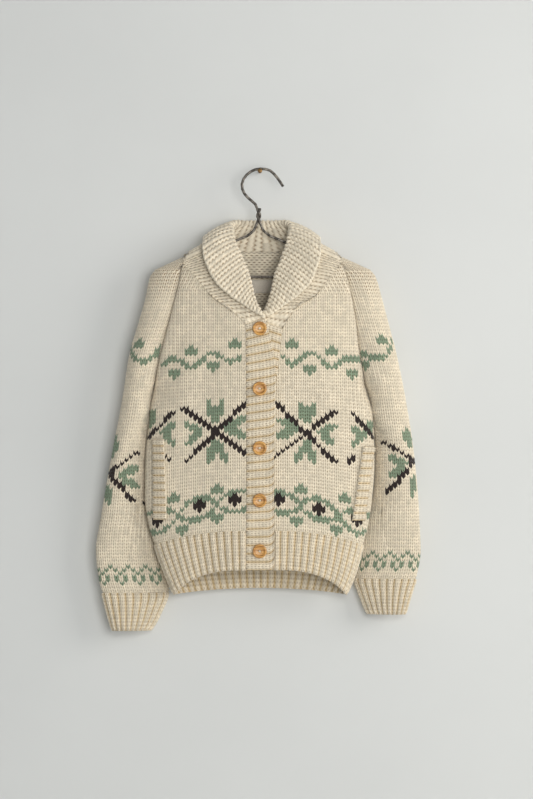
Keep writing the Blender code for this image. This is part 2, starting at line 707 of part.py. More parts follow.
def smooth_path(points, step):
    """Evenly stepped points on a smooth curve through a few given ones."""
    points = np.array(points, dtype=float)
    at = spread(points)
    rows = {"s": at, "x": points[:, 0], "y": points[:, 1], "z": points[:, 2]}
    length = np.linalg.norm(np.diff(points, axis=0), axis=1).sum()
    fine = np.linspace(0, 1, max(int(length / step), 2) + 1)
    slopes = [np.gradient(rows[axis], at, edge_order=1) for axis in "xyz"]
    i = np.clip(np.searchsorted(at, fine, side="right") - 1, 0, len(at) - 2)
    width = at[i + 1] - at[i]
    t = (fine - at[i]) / width
    out = []
    for axis, slope in zip("xyz", slopes):
        a, b = rows[axis][i], rows[axis][i + 1]
        out.append(
            a * (1 + 2 * t) * (1 - t) ** 2 + slope[i] * width * t * (1 - t) ** 2
            + b * (3 - 2 * t) * t ** 2 + slope[i + 1] * width * t ** 2 * (t - 1)
        )
    return np.stack(out, axis=1)


HOOK = [
    (34.6, 0, -24.6), (25.0, 0, -10.6), (14.7, 0, -0.6), (3.0, 0, 1.9), (-7.3, 0, 0.6),
    (-17.5, 0, -4.9), (-24.8, 0, -13.6), (-27.3, 0, -22.6), (-24.8, 0, -33.0),
    (-17.5, 0, -42.2), (-9.9, 0, -48.6),
]
NECK_TOP, NECK_BOTTOM = -58.0, -79.0
NECK_X = -2.1
ARM = [(4.5, -87.0), (12.9, -96.3), (30.9, -104.5), (83.9, -127.0)]   # out from the neck, height
ARM_END = {-1: (137.6, -148.2), 1: (142.2, -145.1)}     # under the cloth of each shoulder
CORNER = [(4.5, -3.9), (4.8, -9.1)]                     # from the arm's end
BAR = -160.4


def hanger_side(start, sign):
    """Centreline from a strand's lower end along one arm and round the corner to the bar."""
    def point(out, height):
        return NECK_X + sign * out, 0, height

    out, height = ARM_END[sign]
    arm = smooth_path([tuple(start)] + [point(*at) for at in ARM + [(out, height)]], 13.0)
    bend = [point(out + a, height + b) for a, b in [(0, 0)] + CORNER]
    corner = smooth_path(bend + [point(out - 0.5, BAR)], 3.5)
    return np.concatenate([arm[:-1], corner])


def make_hanger(collection):
    """One wire: hook, one strand of the twisted neck, right arm, bar, left arm and the
    other strand. The strands lie a hair's gap apart."""
    twist_radius = WIRE + 0.25
    height = np.linspace(NECK_TOP, NECK_BOTTOM, 12)
    turn = math.pi * (1 + 2 * (height - NECK_TOP) / (NECK_BOTTOM - NECK_TOP))
    strand = np.stack([
        NECK_X + twist_radius * np.cos(turn), twist_radius * np.sin(turn), height,
    ], axis=1)
    other = strand * [-1, -1, 1] + [2 * NECK_X, 0, 0]
    hook = smooth_path(HOOK + [(-5.0, 0, -54.0), tuple(strand[0])], 7.5)
    right, left = hanger_side(strand[-1], -1), hanger_side(other[-1], 1)
    route = np.concatenate([hook[:-1], strand[:-1], right, left[::-1], other[::-1][1:]])
    make_wire("hanger", route, WIRE, "dark_wire", collection)


def make_wire(name, route, radius, finish, collection):
    """Round wire along a route, as a curve with a bevel and filled caps."""
    curve = bpy.data.curves.new(name, "CURVE")
    curve.dimensions = "3D"
    spline = curve.splines.new("POLY")
    spline.points.add(len(route) - 1)
    for point, (x, y, z) in zip(spline.points, route * MM):
        point.co = (x, y, z, 1)
    curve.bevel_depth = radius * MM
    curve.bevel_resolution = 2
    curve.use_fill_caps = True
    curve.materials.append(material(finish))
    collection.objects.link(bpy.data.objects.new(name, curve))


def make_nail(collection):
    """The nail: a shaft along Y under the hook's crown, with a flat head in front."""
    mesh = bpy.data.meshes.new("wall_nail")
    profile = [
        (0, NAIL_BACK), (0.25 * NAIL, NAIL_BACK), (NAIL, NAIL_BACK - 4), (NAIL, NAIL_FRONT),
        (NAIL_HEAD, NAIL_FRONT), (NAIL_HEAD, NAIL_FRONT - 1.4), (0, NAIL_FRONT - 1.8),
    ]
    edges = [(i, i + 1) for i in range(len(profile) - 1)]
    mesh.from_pydata([(x * MM, 0, y * MM) for x, y in profile], edges, [])
    nail = piece("wall_nail", mesh, "old_brass", collection)
    screw = nail.modifiers.new("turned", "SCREW")
    screw.steps = screw.render_steps = 16
    screw.use_merge_vertices = True
    screw.merge_threshold = 0.00001
    nail.rotation_euler = (-math.pi / 2, 0, 0)
    nail.location = (0, 0, -(NAIL + SEAM / 2) * MM)


def make_label(collection):
    """A blank tape label on the inside of the back, made from the back's own points."""
    x = np.linspace(-13.5, 19.5, 5)[None, :]
    z = np.linspace(-184.0, -164.0, 3)[:, None] + 0 * x
    x = x + 0 * z
    share = share_at(x, z)
    points = body(1, share, z)
    inward = normals(lambda a, b: body(1, a, b), share, z, 0.004, 0.8)
    near = points + inward * (WALL + LAID)
    far = points + inward * (WALL + LAID + 1.0)
    piece("neck_label", wall_mesh("neck_label", far, near), "blank_tape", collection)


def main():
    for thing in list(bpy.data.objects):
        bpy.data.objects.remove(thing, do_unlink=True)
    collection = bpy.data.collections.new("shawl_collar_cardigan")
    bpy.context.scene.collection.children.link(collection)
    for wearer in ("right", "left"):
        make_front(wearer, collection)
        make_hem("front", f"hem_front_{wearer}",
                 lambda a, b, wearer=wearer: front(wearer, a, b), FRONT_RIBS,
                 wearer == "left", collection)
        make_sleeve(wearer, collection)
        make_cuff(wearer, collection)
        make_pocket_edge(wearer, collection)
    make_back(collection)
    make_hem("back", "hem_back", lambda a, b: body(1, a, b), BACK_RIBS, True, collection)
    make_band("buttonhole_band", TOP_BAND, True, collection)
    make_band("button_band", UNDER_BAND, False, collection)
    make_collar(collection)
    for number, z in enumerate(BUTTON_Z, start=1):
        make_button(number, z, collection)
    make_label(collection)
    make_hanger(collection)
    make_nail(collection)


main()
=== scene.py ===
"""Child's hand-knitted shawl-collar cardigan on a wire hanger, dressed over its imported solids.

Every knitted piece is a grid of stitches laid on the same surface as its solid: right and
left are the wearer's, the front faces -Y, and the origin is where the hook rests on the nail.
Sizes are in millimetres here and become metres where a mesh is made.
"""

import math
from functools import partial

import bmesh
import bpy
import numpy as np
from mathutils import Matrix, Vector


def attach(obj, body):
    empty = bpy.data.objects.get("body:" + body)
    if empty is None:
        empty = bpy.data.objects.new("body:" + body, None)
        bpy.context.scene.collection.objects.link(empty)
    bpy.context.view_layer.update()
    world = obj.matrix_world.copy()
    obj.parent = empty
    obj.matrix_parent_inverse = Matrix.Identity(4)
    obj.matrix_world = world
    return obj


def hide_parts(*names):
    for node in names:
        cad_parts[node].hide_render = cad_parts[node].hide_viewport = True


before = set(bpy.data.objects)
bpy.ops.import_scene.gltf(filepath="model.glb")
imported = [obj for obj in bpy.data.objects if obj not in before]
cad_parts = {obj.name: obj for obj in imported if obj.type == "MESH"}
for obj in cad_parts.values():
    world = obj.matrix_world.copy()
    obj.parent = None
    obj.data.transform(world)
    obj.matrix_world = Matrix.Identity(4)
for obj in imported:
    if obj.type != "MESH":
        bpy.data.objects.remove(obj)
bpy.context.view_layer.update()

MM = 0.001

# Cloth
WALL = 3.5            # knitted wall
SEAM = 0.4            # gap between two pieces at a seam
LAID = 0.3            # gap under a piece that lies on another
RIB = 1.8             # height of a rib over the wall
RIB_PITCH = 11.4
FRONT_RIBS, BACK_RIBS, CUFF_RIBS = 14, 29, 19
GARTER = 1.2          # height of a garter ridge
LIFT = 7.4            # how far the buttonhole side lies over the button side
LIFT_FROM, LIFT_OVER = -95.0, 70.0    # where that begins, and the width that it takes

# Heights
UNDERARM = -322.0
SHOULDER = -150.0     # highest level ring of a sleeve, just under the shoulder point
RAGLAN_FRONT = -136.0
RAGLAN_BACK = -131.0
NECK_BACK = -122.0
HEM_TOP = {"front": -540, "back": -555}         # of the ribbing, at its highest
HEM_BOTTOM = {"front": -599, "back": -628}
SHOULDER_TOP = {"right": (-105.0, -1.0, -126.0), "left": (112.0, -1.0, -126.0)}

# Bands
BAND_BOTTOM = -599.0
TOP_BAND_TOP = (-232.5, -223.3)       # at its right and left edges, against the collar
UNDER_BAND_TOP = (-224.0, -239.0)
TUCKED = 2.2          # how far a band's top end reaches under the collar's end
BUTTON_X = -0.5
BUTTON_Z = (-238.5, -328.0, -416.5, -494.5, -570.0)
BUTTON_RADIUS = 10.5
BUTTON_THICK = 4.2


def table(names, rows):
    """Short table with named columns, sorted by its first one."""
    rows = np.array(sorted(rows), dtype=float)
    return dict(zip(names.split(), rows.T))


def read(rows, column, at):
    """Column's value along a smooth curve through the rows, with no overshoot between them."""
    knots, values = rows[next(iter(rows))], rows[column]
    secant = np.diff(values) / np.diff(knots)
    before, after = secant[:-1], secant[1:]
    same = before * after > 0
    inner = np.where(same, 2 * before * after / np.where(same, before + after, 1.0), 0.0)
    slope = np.concatenate([secant[:1], inner, secant[-1:]])
    at = np.clip(np.asarray(at, dtype=float), knots[0], knots[-1])
    i = np.clip(np.searchsorted(knots, at) - 1, 0, len(knots) - 2)
    width = knots[i + 1] - knots[i]
    t = (at - knots[i]) / width
    return (
        values[i] * (1 + 2 * t) * (1 - t) ** 2
        + slope[i] * width * t * (1 - t) ** 2
        + values[i + 1] * (3 - 2 * t) * t ** 2
        + slope[i + 1] * width * t ** 2 * (t - 1)
    )


# Body: right and left edges are the side seams, and the raglan seams above the underarm.
# Front and back are depths at the middle, and seam is the half-depth at the edges.
BODY = table("z right left front back seam", [
    (-120, -107.0, 113.0, 27, 22, 17),
    (-136, -114.0, 121.0, 31, 23, 18),
    (-177, -123.0, 134.0, 37, 25, 20),
    (-228, -136.0, 143.0, 41, 26, 19),
    (-274, -148.5, 148.5, 43, 26, 15),
    (-305, -155.0, 154.0, 43, 26, 8),
    (-322, -158.0, 157.0, 43, 26, 0.4),
    (-360, -164.0, 166.0, 43, 26, 0.2),
    (-405, -169.5, 171.3, 43, 26, 0.2),
    (-441, -171.5, 171.3, 43, 26, 0.2),
    (-488, -172.0, 168.0, 42, 26, 0.2),
    (-530, -167.0, 162.5, 41, 26, 0.2),
    (-560, -159.0, 155.0, 40, 25, 0.2),
    (-600, -144.0, 144.0, 38, 24, 0.2),
    (-640, -127.0, 128.0, 36, 22, 0.2),
])

# Sleeves: outer edges and half-depth, and below the underarm the hidden inner edge.
OUTER = table("z right left depth", [
    (-150, -157.0, 165.0, 20),
    (-160, -164.5, 173.0, 21),
    (-190, -171.0, 182.0, 23),
    (-228, -181.5, 192.0, 25),
    (-274, -195.0, 204.0, 26),
    (-348, -207.0, 219.0, 27),
    (-432, -223.0, 231.5, 26),
    (-511, -237.0, 238.5, 22),
    (-571, -246.0, 241.0, 18),
    (-613, -242.0, 234.0, 16),
    (-634, -236.5, 227.0, 15),
    (-667, -228.0, 217.5, 14),
    (-692, -221.0, 210.0, 14),
])
INNER = table("z right left inner_y outer_y", [
    (-322, -158.6, 157.6, 0, 0),
    (-345, -163.5, 165.0, 8, 2),
    (-405, -171.0, 173.5, 12, 2),
    (-460, -173.2, 172.8, 16, 3),
    (-488, -172.0, 170.0, 21, 4),
    (-530, -159.0, 153.5, 28, 5),
    (-571, -142.0, 141.0, 30, 6),
    (-613, -138.0, 141.0, 29, 7),
    (-634, -138.0, 148.0, 27, 7),
    (-667, -150.0, 161.0, 24, 8),
    (-692, -164.0, 170.0, 20, 8),
])
CUFF_TOP = {"right": -634.5, "left": -613.5}
CUFF_BOTTOM = {"right": -691.5, "left": -667.0}

# Neckline of each front, from the raglan seam down to the band.
NECK_RIGHT = table("z x", [(-136, -114), (-159, -98), (-189, -73), (-212, -41), (-232, -21)])
NECK_LEFT = table("z x", [(-136, 121), (-165, 101), (-189, 83), (-207, 55), (-225, 41), (-238, 34)])

# Bands: right and left edges of each.
TOP_BAND = table("z right left", [
    (-222, -21.5, 7.0),
    (-256, -21.0, 16.5),
    (-302, -20.5, 22.8),
    (-441, -20.0, 21.0),
    (-600, -20.5, 21.5),
])
UNDER_BAND = table("z right left", [
    (-222, -9.0, 35.0),
    (-256, -15.0, 31.0),
    (-302, -19.0, 26.0),
    (-340, -19.5, 20.0),
    (-600, -19.5, 20.0),
])

# Pocket edges: ribbed strips near the side seams.
POCKETS = {
    "right": table("z right left", [(-403, -159.0, -142.5), (-524, -158.0, -139.0)]),
    "left": table("z right left", [(-414, 153.0, 169.0), (-525, 137.0, 155.5)]),
}

# Shawl collar along its length: w runs from the right front's band (0) round the back of
# the neck (0.5) to the left front's band (1). The fold is the edge that shows, and the free
# edge hangs outside it. Out points away from the neck, and roll is how far the collar has
# turned over, in degrees.
COLLAR = table("w fold_x fold_y fold_z edge_x edge_y edge_z out_x out_y out_z roll", [
    (0.00, 7.0, -47, -222, 12.0, -52, -225, 0, -1, 0, 50),
    (0.06, 0.0, -44, -208, -5.0, -50, -216, 0, -1, 0, 150),
    (0.12, -6.6, -40, -193, -18.0, -49, -208, 0, -1, 0.05, 180),
    (0.20, -14.0, -32, -162, -45.0, -47, -190, -0.1, -1, 0.15, 180),
    (0.28, -25.0, -22, -134, -70.0, -43, -165, -0.3, -0.9, 0.4, 180),
    (0.35, -37.0, -11, -104, -82.0, -28, -136, -0.5, -0.5, 0.8, 180),
    (0.40, -39.0, 2, -85, -79.5, -4, -114, -0.6, 0, 0.9, 180),
    (0.45, -27.0, 16, -77, -66.0, 22, -116, -0.4, 0.7, 0.6, 180),
    (0.50, 1.5, 21, -75, 1.5, 33, -130, 0, 1, 0.25, 180),
    (0.55, 30.0, 16, -77, 69.0, 22, -116, 0.4, 0.7, 0.6, 180),
    (0.60, 42.0, 2, -86, 84.5, -4, -115, 0.6, 0, 0.9, 180),
    (0.65, 40.0, -11, -104, 87.0, -28, -138, 0.5, -0.5, 0.8, 180),
    (0.72, 31.0, -20, -134, 79.0, -41, -165, 0.3, -0.9, 0.4, 180),
    (0.80, 21.0, -26, -160, 60.0, -43, -187, 0.1, -1, 0.15, 180),
    (0.88, 14.0, -31, -190, 34.0, -42, -206, 0, -1, 0.05, 180),
    (0.94, 6.0, -35, -210, 17.0, -42, -217, 0, -1, 0, 150),
    (1.00, -6.0, -38, -224, -9.0, -41, -226, 0, -1, 0, 50),
])
COLLAR_SHOULDER = (0.36, 0.42)     # where the collar's seam leaves the right front and the sleeve
FOLD_RADIUS = 2.9
FOLD_START, FOLD_END = 0.4, 0.6      # shares of its width between which it folds
FALL_CLEAR = 0.5      # least gap between the stand and the fall outside it
FALL_CROWN = 3.0      # how far the fall stands out at its middle
END_LENGTH = 6.0      # width past the fold at its ends, where it hasn't turned over
ROLL_FROM, ROLL_OVER = 0.8, 2.0      # radians of turn from which there is a fall
RIDGES_SHOWN = 68

# Columns of each panel's solid, which the collar's seam follows
FRONT_COLUMNS = 11
BACK_COLUMNS = 19
SLEEVE_COLUMNS = 19

BOX = 0.75            # how square the body's section is: 1 is an ellipse
BESIDE = 0.8          # step up and down in which a normal is measured
FOLDED = np.linspace(0, 1, 721)


def spread(line):
    """Share of a line's length that lies before each of its points."""
    steps = np.linalg.norm(np.diff(line, axis=0), axis=1)
    return np.concatenate([[0.0], np.cumsum(steps)]) / steps.sum()


BODY_SHARE = spread(np.stack([
    -165 * np.cos(math.pi * FOLDED),
    42 * np.sin(math.pi * FOLDED) ** BOX,
], axis=1))
SLEEVE_SHARE = spread(np.stack([
    45 * np.cos(2 * math.pi * FOLDED),
    18 * np.sin(2 * math.pi * FOLDED),
], axis=1))


def unit(v):
    """Directions of length 1."""
    return v / np.maximum(np.linalg.norm(v, axis=-1, keepdims=True), 1e-9)


def smooth_step(x):
    """0 below 0 and 1 above 1, with a smooth S between them."""
    x = np.clip(x, 0, 1)
    return x * x * (3 - 2 * x)


def body(side, share, z):
    """Point of the body at a share of its width: 0 at the right edge, 1 at the left."""
    turn = np.interp(share, BODY_SHARE, FOLDED) * math.pi
    right, left, seam = read(BODY, "right", z), read(BODY, "left", z), read(BODY, "seam", z)
    depth = read(BODY, "front" if side < 0 else "back", z)
    x = right + (left - right) * (1 - np.cos(turn)) / 2
    y = side * (seam + (depth - seam) * np.abs(np.sin(turn)) ** BOX)
    return np.stack([x, y, z + 0 * x], axis=-1)


def on_body(u, z):
    """Point of the body's back half."""
    return body(1, u, z)


def share_at(x, z):
    """Share of the body's width at a place x."""
    right, left = read(BODY, "right", z), read(BODY, "left", z)
    turn = np.arccos(np.clip(1 - 2 * (x - right) / (left - right), -1, 1))
    return np.interp(turn / math.pi, FOLDED, BODY_SHARE)


def lift(x):
    """How far the buttonhole side stands in front of the button side."""
    return LIFT * smooth_step((x - LIFT_FROM) / LIFT_OVER)


def neck_height(wearer, u):
    """Height of a front's neckline: u is 0 at the raglan seam and 1 at the band."""
    rows = NECK_RIGHT if wearer == "right" else NECK_LEFT
    share = share_at(rows["x"], rows["z"])
    band = band_share(wearer, rows["z"])
    if wearer == "right":
        across = share / band
    else:
        across = (1 - share) / (1 - band)
    order = np.argsort(across)
    line = {"u": across[order], "z": rows["z"][order]}
    return read(line, "z", u)


def band_share(wearer, z):
    """Share of the width where a front meets its band."""
    rows, column = (TOP_BAND, "right") if wearer == "right" else (UNDER_BAND, "left")
    return share_at(read(rows, column, z), z)


def front(wearer, u, z):
    """Point of a front: u is 0 at the side or raglan seam and 1 at the band."""
    if wearer == "right":
        point = body(-1, u * band_share(wearer, z), z)
        point[..., 1] -= lift(point[..., 0])
        return point
    return body(-1, 1 - u * (1 - band_share(wearer, z)), z)


def hem_levels(kind, u):
    """Top and bottom heights of a hem rib, across a front (u 0 to 1) or the back."""
    if kind == "back":
        across = np.abs(np.cos(math.pi * np.interp(u, BODY_SHARE, FOLDED)))
        return HEM_TOP[kind] - 7 * across ** 2, HEM_BOTTOM[kind] - 9 * across ** 2
    across = np.cos(math.pi / 2 * np.interp(u / 2, BODY_SHARE, FOLDED) * 2)
    low = np.clip((across - 0.13) / 0.87, 0, 1)
    return HEM_TOP[kind] - 22 * across ** 2, HEM_BOTTOM[kind] - 38 * low ** 2


def neck_back(u):
    """Height of the back's neckline: a parabola, lowest at the raglan seams."""
    return NECK_BACK + (RAGLAN_BACK - NECK_BACK) * (2 * u - 1) ** 2


def sleeve_ring(wearer, turn, z):
    """Point of a sleeve on a level ring: turn is 0 at the inner or front seam, 0.5 at the
    outer edge and 1 at the back seam. Above the underarm the ring is open towards the body."""
    sign = -1 if wearer == "right" else 1
    above = z > UNDERARM + 0.01
    outer, depth = np.abs(read(OUTER, wearer, z)), read(OUTER, "depth", z)
    inner = np.abs(np.where(above, read(BODY, wearer, z), read(INNER, wearer, z)))
    inner = inner + np.where(above, SEAM, 0)
    mouth = np.where(above, np.minimum(read(BODY, "seam", z) / depth, 0.999), 0.0)
    start = np.arcsin(mouth)
    length = (outer - inner) / (1 + np.cos(start))
    angle = start + (2 * math.pi - 2 * start) * np.interp(turn, SLEEVE_SHARE, FOLDED)
    inner_y = np.where(above, 0.0, read(INNER, "inner_y", z))
    outer_y = np.where(above, 0.0, read(INNER, "outer_y", z))
    x = outer - length - length * np.cos(angle)
    middle = (inner_y + outer_y) / 2 + (inner_y - outer_y) / 2 * np.cos(angle)
    y = middle - depth * np.sin(angle)
    return np.stack([sign * x, y, z + 0 * x], axis=-1)


def shoulder_edge(wearer, turn):
    """Sleeve's short neck edge, from the front raglan seam over the shoulder to the back one."""
    start = raglan(wearer, -1, RAGLAN_FRONT)
    end = raglan(wearer, 1, RAGLAN_BACK)
    top = np.array(SHOULDER_TOP[wearer])
    pull = 2 * top - (start + end) / 2
    t = turn[..., None]
    return start * (1 - t) ** 2 + 2 * t * (1 - t) * pull + end * t ** 2


def raglan(wearer, side, z):
    """Edge of a sleeve along a raglan seam."""
    sign = -1 if wearer == "right" else 1
    z = np.asarray(z, dtype=float)
    x = read(BODY, wearer, z) + sign * SEAM
    return np.stack([x, side * read(BODY, "seam", z), z + 0 * x], axis=-1)


def sleeve(wearer, turn, v):
    """Point of a sleeve: v is a height up to SHOULDER, and from there 0 to 1 up to the neck."""
    turn, v = np.broadcast_arrays(np.asarray(turn, float), np.asarray(v, float))
    rise = np.clip(v - SHOULDER, 0, 1)
    low = sleeve_ring(wearer, turn, np.minimum(v, SHOULDER))
    r = rise[..., None]
    t = turn[..., None]
    high = low * (1 - r) + shoulder_edge(wearer, turn) * r
    front_seam = raglan(wearer, -1, SHOULDER + rise * (RAGLAN_FRONT - SHOULDER))
    back_seam = raglan(wearer, 1, SHOULDER + rise * (RAGLAN_BACK - SHOULDER))
    zero, one = np.zeros_like(turn), np.ones_like(turn)
    ring = sleeve_ring(wearer, zero, SHOULDER + zero), sleeve_ring(wearer, one, SHOULDER + zero)
    start = ring[0] * (1 - r) + shoulder_edge(wearer, zero) * r
    end = ring[1] * (1 - r) + shoulder_edge(wearer, one) * r
    return high + (1 - t) * (front_seam - start) * r + t * (back_seam - end) * r


def seam_parts(w):
    """Stretches that the collar is sewn to. Each gives its panel and the wearer's side, the
    places that lie on it and their share along it."""
    first, last = COLLAR_SHOULDER
    for wearer, along in (("right", w), ("left", 1 - w)):
        here = (along <= first) & (along < 0.5)
        yield "front", wearer, here, 1 - along[here] / first
        here = (along > first) & (along < last)
        yield "sleeve", wearer, here, (along[here] - first) / (last - first)
    here = (w >= last) & (w <= 1 - last)
    yield "back", "", here, (w[here] - last) / (1 - 2 * last)


def collar_seam(w):
    """Point where the collar is sewn on: it runs straight from column to column of each solid."""
    edges = {
        "front": (lambda wearer, a: front(wearer, a, neck_height(wearer, a)), FRONT_COLUMNS),
        "sleeve": (shoulder_edge, SLEEVE_COLUMNS),
        "back": (lambda wearer, a: on_body(a, neck_back(a)), BACK_COLUMNS),
    }
    points = np.zeros(w.shape + (3,))
    for panel, wearer, here, share in seam_parts(w):
        edge, columns = edges[panel]
        steps = np.linspace(0, 1, columns)
        corners = edge(wearer, steps).T
        points[here] = np.stack([np.interp(share, steps, corner) for corner in corners], axis=-1)
    return points


def normals(surface, u, z, du):
    """Unit normals of a surface on the body, from points beside each one but not past its edges."""
    across = surface(np.minimum(u + du, 1.0), z) - surface(np.maximum(u - du, 0.0), z)
    return unit(np.cross(across, surface(u, z + BESIDE) - surface(u, z - BESIDE)))


def seam_normal(w):
    """Outward direction of the cloth that the collar is sewn to."""
    out = np.zeros(w.shape + (3,))
    for panel, wearer, here, share in seam_parts(w):
        if panel == "sleeve":
            step = shoulder_edge(wearer, share + 0.02) - shoulder_edge(wearer, share - 0.02)
            drop = sleeve(wearer, share, SHOULDER + 1) - sleeve(wearer, share, SHOULDER + 0.8)
            way = unit(np.cross(step, drop))
        elif panel == "front":
            way = normals(partial(front, wearer), share, neck_height(wearer, share), 0.01)
        else:
            way = normals(on_body, share, neck_back(share), 0.01)
        out[here] = way if wearer == "right" else -way
    return out


def collar(w, k):
    """Middle of the collar's wall: k is 0 at the seam, FOLD_START to FOLD_END round the fold and
    1 at the free edge. It is a stand, an arc at the fold and a fall outside the stand."""
    shape = np.broadcast(w, k).shape
    w, k = (np.broadcast_to(values, shape).ravel() for values in (w, k))
    seam = collar_seam(w)
    fold, edge, hint = (np.stack([read(COLLAR, f"{part}_{axis}", w) for axis in "xyz"], axis=-1)
                        for part in ("fold", "edge", "out"))
    roll = np.radians(read(COLLAR, "roll", w))[:, None]
    up = unit(fold - seam)
    out = unit(hint - (hint * up).sum(-1, keepdims=True) * up)
    base = seam - seam_normal(w) * (WALL / 2)
    turn_at = fold - up * (FOLD_RADIUS + WALL / 2)
    up = unit(turn_at - base)
    out = unit(out - (out * up).sum(-1, keepdims=True) * up)
    angle = np.clip((k - FOLD_START) / (FOLD_END - FOLD_START), 0, 1)[:, None] * roll
    arc = turn_at + FOLD_RADIUS * (np.sin(angle) * up + (1 - np.cos(angle)) * out)
    stand = base + (turn_at - base) * np.clip(k / FOLD_START, 0, 1)[:, None]
    end = turn_at + FOLD_RADIUS * (np.sin(roll) * up + (1 - np.cos(roll)) * out)
    height = ((edge - base) * out).sum(-1, keepdims=True)
    edge = edge + out * np.maximum(0, 2 * FOLD_RADIUS + FALL_CLEAR - height)
    rolled = smooth_step((roll - ROLL_FROM) / ROLL_OVER)
    ahead = np.cos(roll) * up + np.sin(roll) * out
    target = end + ahead * END_LENGTH * (1 - rolled) + (edge - end) * rolled
    fall_k = np.clip((k - FOLD_END) / (1 - FOLD_END), 0, 1)[:, None]
    crown = out * FALL_CROWN * rolled * 4 * fall_k * (1 - fall_k)
    fall = end + (target - end) * fall_k + crown
    point = np.where(k[:, None] < FOLD_START, stand, np.where(k[:, None] > FOLD_END, fall, arc))
    return point.reshape(shape + (3,))


def band_surface(rows, raised):
    """Front strip between the two edges of a band's table, at u 0 to 1."""
    def surface(u, z):
        right, left = read(rows, "right", z), read(rows, "left", z)
        x = right + (left - right) * u
        point = body(-1, share_at(x, z), z)
        point[..., 1] -= lift(x) if raised else 0
        return point
    return surface


# ---------------------------------------------------------------------------------------
# Stitches
# ---------------------------------------------------------------------------------------

WALE = 6.7            # width of a stitch
COURSE = 5.0          # height of a stitch
WALE_POINTS, COURSE_POINTS = 6, 3
SLANT = 0.85          # how far a stitch's legs rise outwards, in courses
LEG = 1.3             # height of a stitch's legs over the hollow between them
SUNK = 0.55           # depth of that hollow under the cloth's surface
RIM_HOLE_SHADE = 0.25      # how dark the painted shade in the holes is along a turned-in edge
EDGE_TURN = 0.9       # how far a panel's edge turns in at its seam
RIB_SHOWN = 2.3       # height of a rib, measured to the middle of its stitches
RIPPLE = 0.13         # how far a garter ridge waves from stitch to stitch, in ridges

CREAM, SAGE, DARK = 0, 1, 2
# Yarn colours, and how dark the painted shade in the small holes between their stitches is
YARNS = np.array([
    (0.770, 0.688, 0.542, 0.62), (0.238, 0.306, 0.214, 0.90), (0.032, 0.024, 0.022, 0.40),
])

# Soft folds in the cloth: a line from one end to the other, its half-width and how far the
# cloth stands out along it. Side is -1 on the front half and 1 on the back half.
FOLDS = table("side x0 z0 x1 z1 width height", [
    (-1, -168, -345, -196, -400, 11, 3.0),
    (-1, -172, -372, -205, -452, 12, -2.6),
    (-1, -182, -505, -236, -545, 15, 2.6),
    (-1, -160, -560, -232, -592, 13, -2.2),
    (-1, -150, -250, -186, -320, 10, -2.4),
    (-1, 168, -350, 198, -410, 11, 2.8),
    (-1, 176, -385, 214, -458, 12, -2.6),
    (-1, 182, -510, 232, -540, 15, 2.4),
    (-1, 160, -552, 226, -578, 12, -2.0),
    (-1, 152, -255, 192, -318, 10, -2.2),
    (-1, -120, -250, -152, -352, 13, -2.4),
    (-1, -92, -262, -128, -420, 16, 2.2),
    (-1, 118, -262, 148, -350, 13, -2.2),
    (-1, 84, -270, 120, -430, 16, 2.0),
    (-1, -60, -470, -96, -548, 15, 1.8),
    (-1, 62, -480, 104, -548, 15, 1.8),
    (1, -70, -190, -140, -330, 16, 2.6),
    (1, 66, -188, 136, -322, 16, 2.6),
    (1, -30, -250, -62, -470, 20, -2.2),
    (1, 44, -270, 58, -500, 20, -2.4),
    (1, -168, -350, -200, -420, 12, 2.6),
    (1, 170, -356, 202, -424, 12, 2.6),
    (1, -190, -500, -232, -552, 15, -2.4),
    (1, 184, -506, 230, -546, 15, -2.4),
    (1, -110, -430, -132, -545, 16, 2.0),
    (1, 112, -420, 128, -545, 16, 1.8),
])
FOLD_EVEN, FOLD_FADE = 0.3, 0.22      # shares of its length: even beside its middle, then fading


def fold_height(points):
    """How far the cloth stands out at each point: a bell curve of the distance to each fold's
    line, faded towards both of its ends."""
    x, z = points[..., 0], points[..., 2]
    side = np.where(points[..., 1] < 0, -1, 1)
    total = np.zeros(x.shape)
    for row in zip(*FOLDS.values()):
        half, x0, z0, x1, z1, width, height = row
        dx, dz = x1 - x0, z1 - z0
        length = math.hypot(dx, dz)
        along = ((x - x0) * dx + (z - z0) * dz) / length ** 2
        away = ((x - x0) * dz - (z - z0) * dx) / length
        fade = np.exp(-(np.maximum(np.abs(along - 0.5) - FOLD_EVEN, 0) / FOLD_FADE) ** 2)
        total += np.where(side == half, height * fade * np.exp(-(away / width) ** 2), 0)
    return total


def uneven(i, j, seed):
    """Even spread of values from 0 to 1, one for each stitch: the fraction of a large sine."""
    return np.modf(np.abs(np.sin(i * 12.9898 + j * 78.233 + seed * 37.719)) * 43758.5453)[0]


def plain_stitch(across, up):
    """Height of a plain stitch: two slanted legs side by side, each swelling to its middle."""
    leg = np.abs(np.sin(2 * math.pi * across))
    swell = 0.5 - 0.5 * np.cos(2 * math.pi * up)
    middle = np.exp(-((across % 1 - 0.5) / 0.14) ** 2)
    return LEG * (leg * (0.60 + 0.40 * swell) + 0.10 * middle) - SUNK


def row_lengths(surface, level, courses, anchor, steps=181):
    """Length of each row of stitches from its first edge, and where its anchor lies in it: a
    share of its width, or the place x that it crosses."""
    share = np.linspace(0, 1, steps)
    v = level(share[None, :] + 0 * courses[:, None], courses[:, None] + 0 * share[None, :])
    line = surface(share[None, :] + 0 * v, v)
    piece_lengths = np.linalg.norm(np.diff(line, axis=1), axis=-1)
    lengths = np.concatenate([np.zeros((len(courses), 1)), np.cumsum(piece_lengths, 1)], 1)
    if abs(anchor) > 1:
        way = np.sign(line[:, -1, 0] - line[:, 0, 0])[:, None]
        start = [np.interp(anchor * w[0], x, row) for w, x, row in zip(
            way, line[..., 0] * way, lengths)]
    else:
        start = [np.interp(anchor, share, row) for row in lengths]
    return share, lengths, np.array(start)


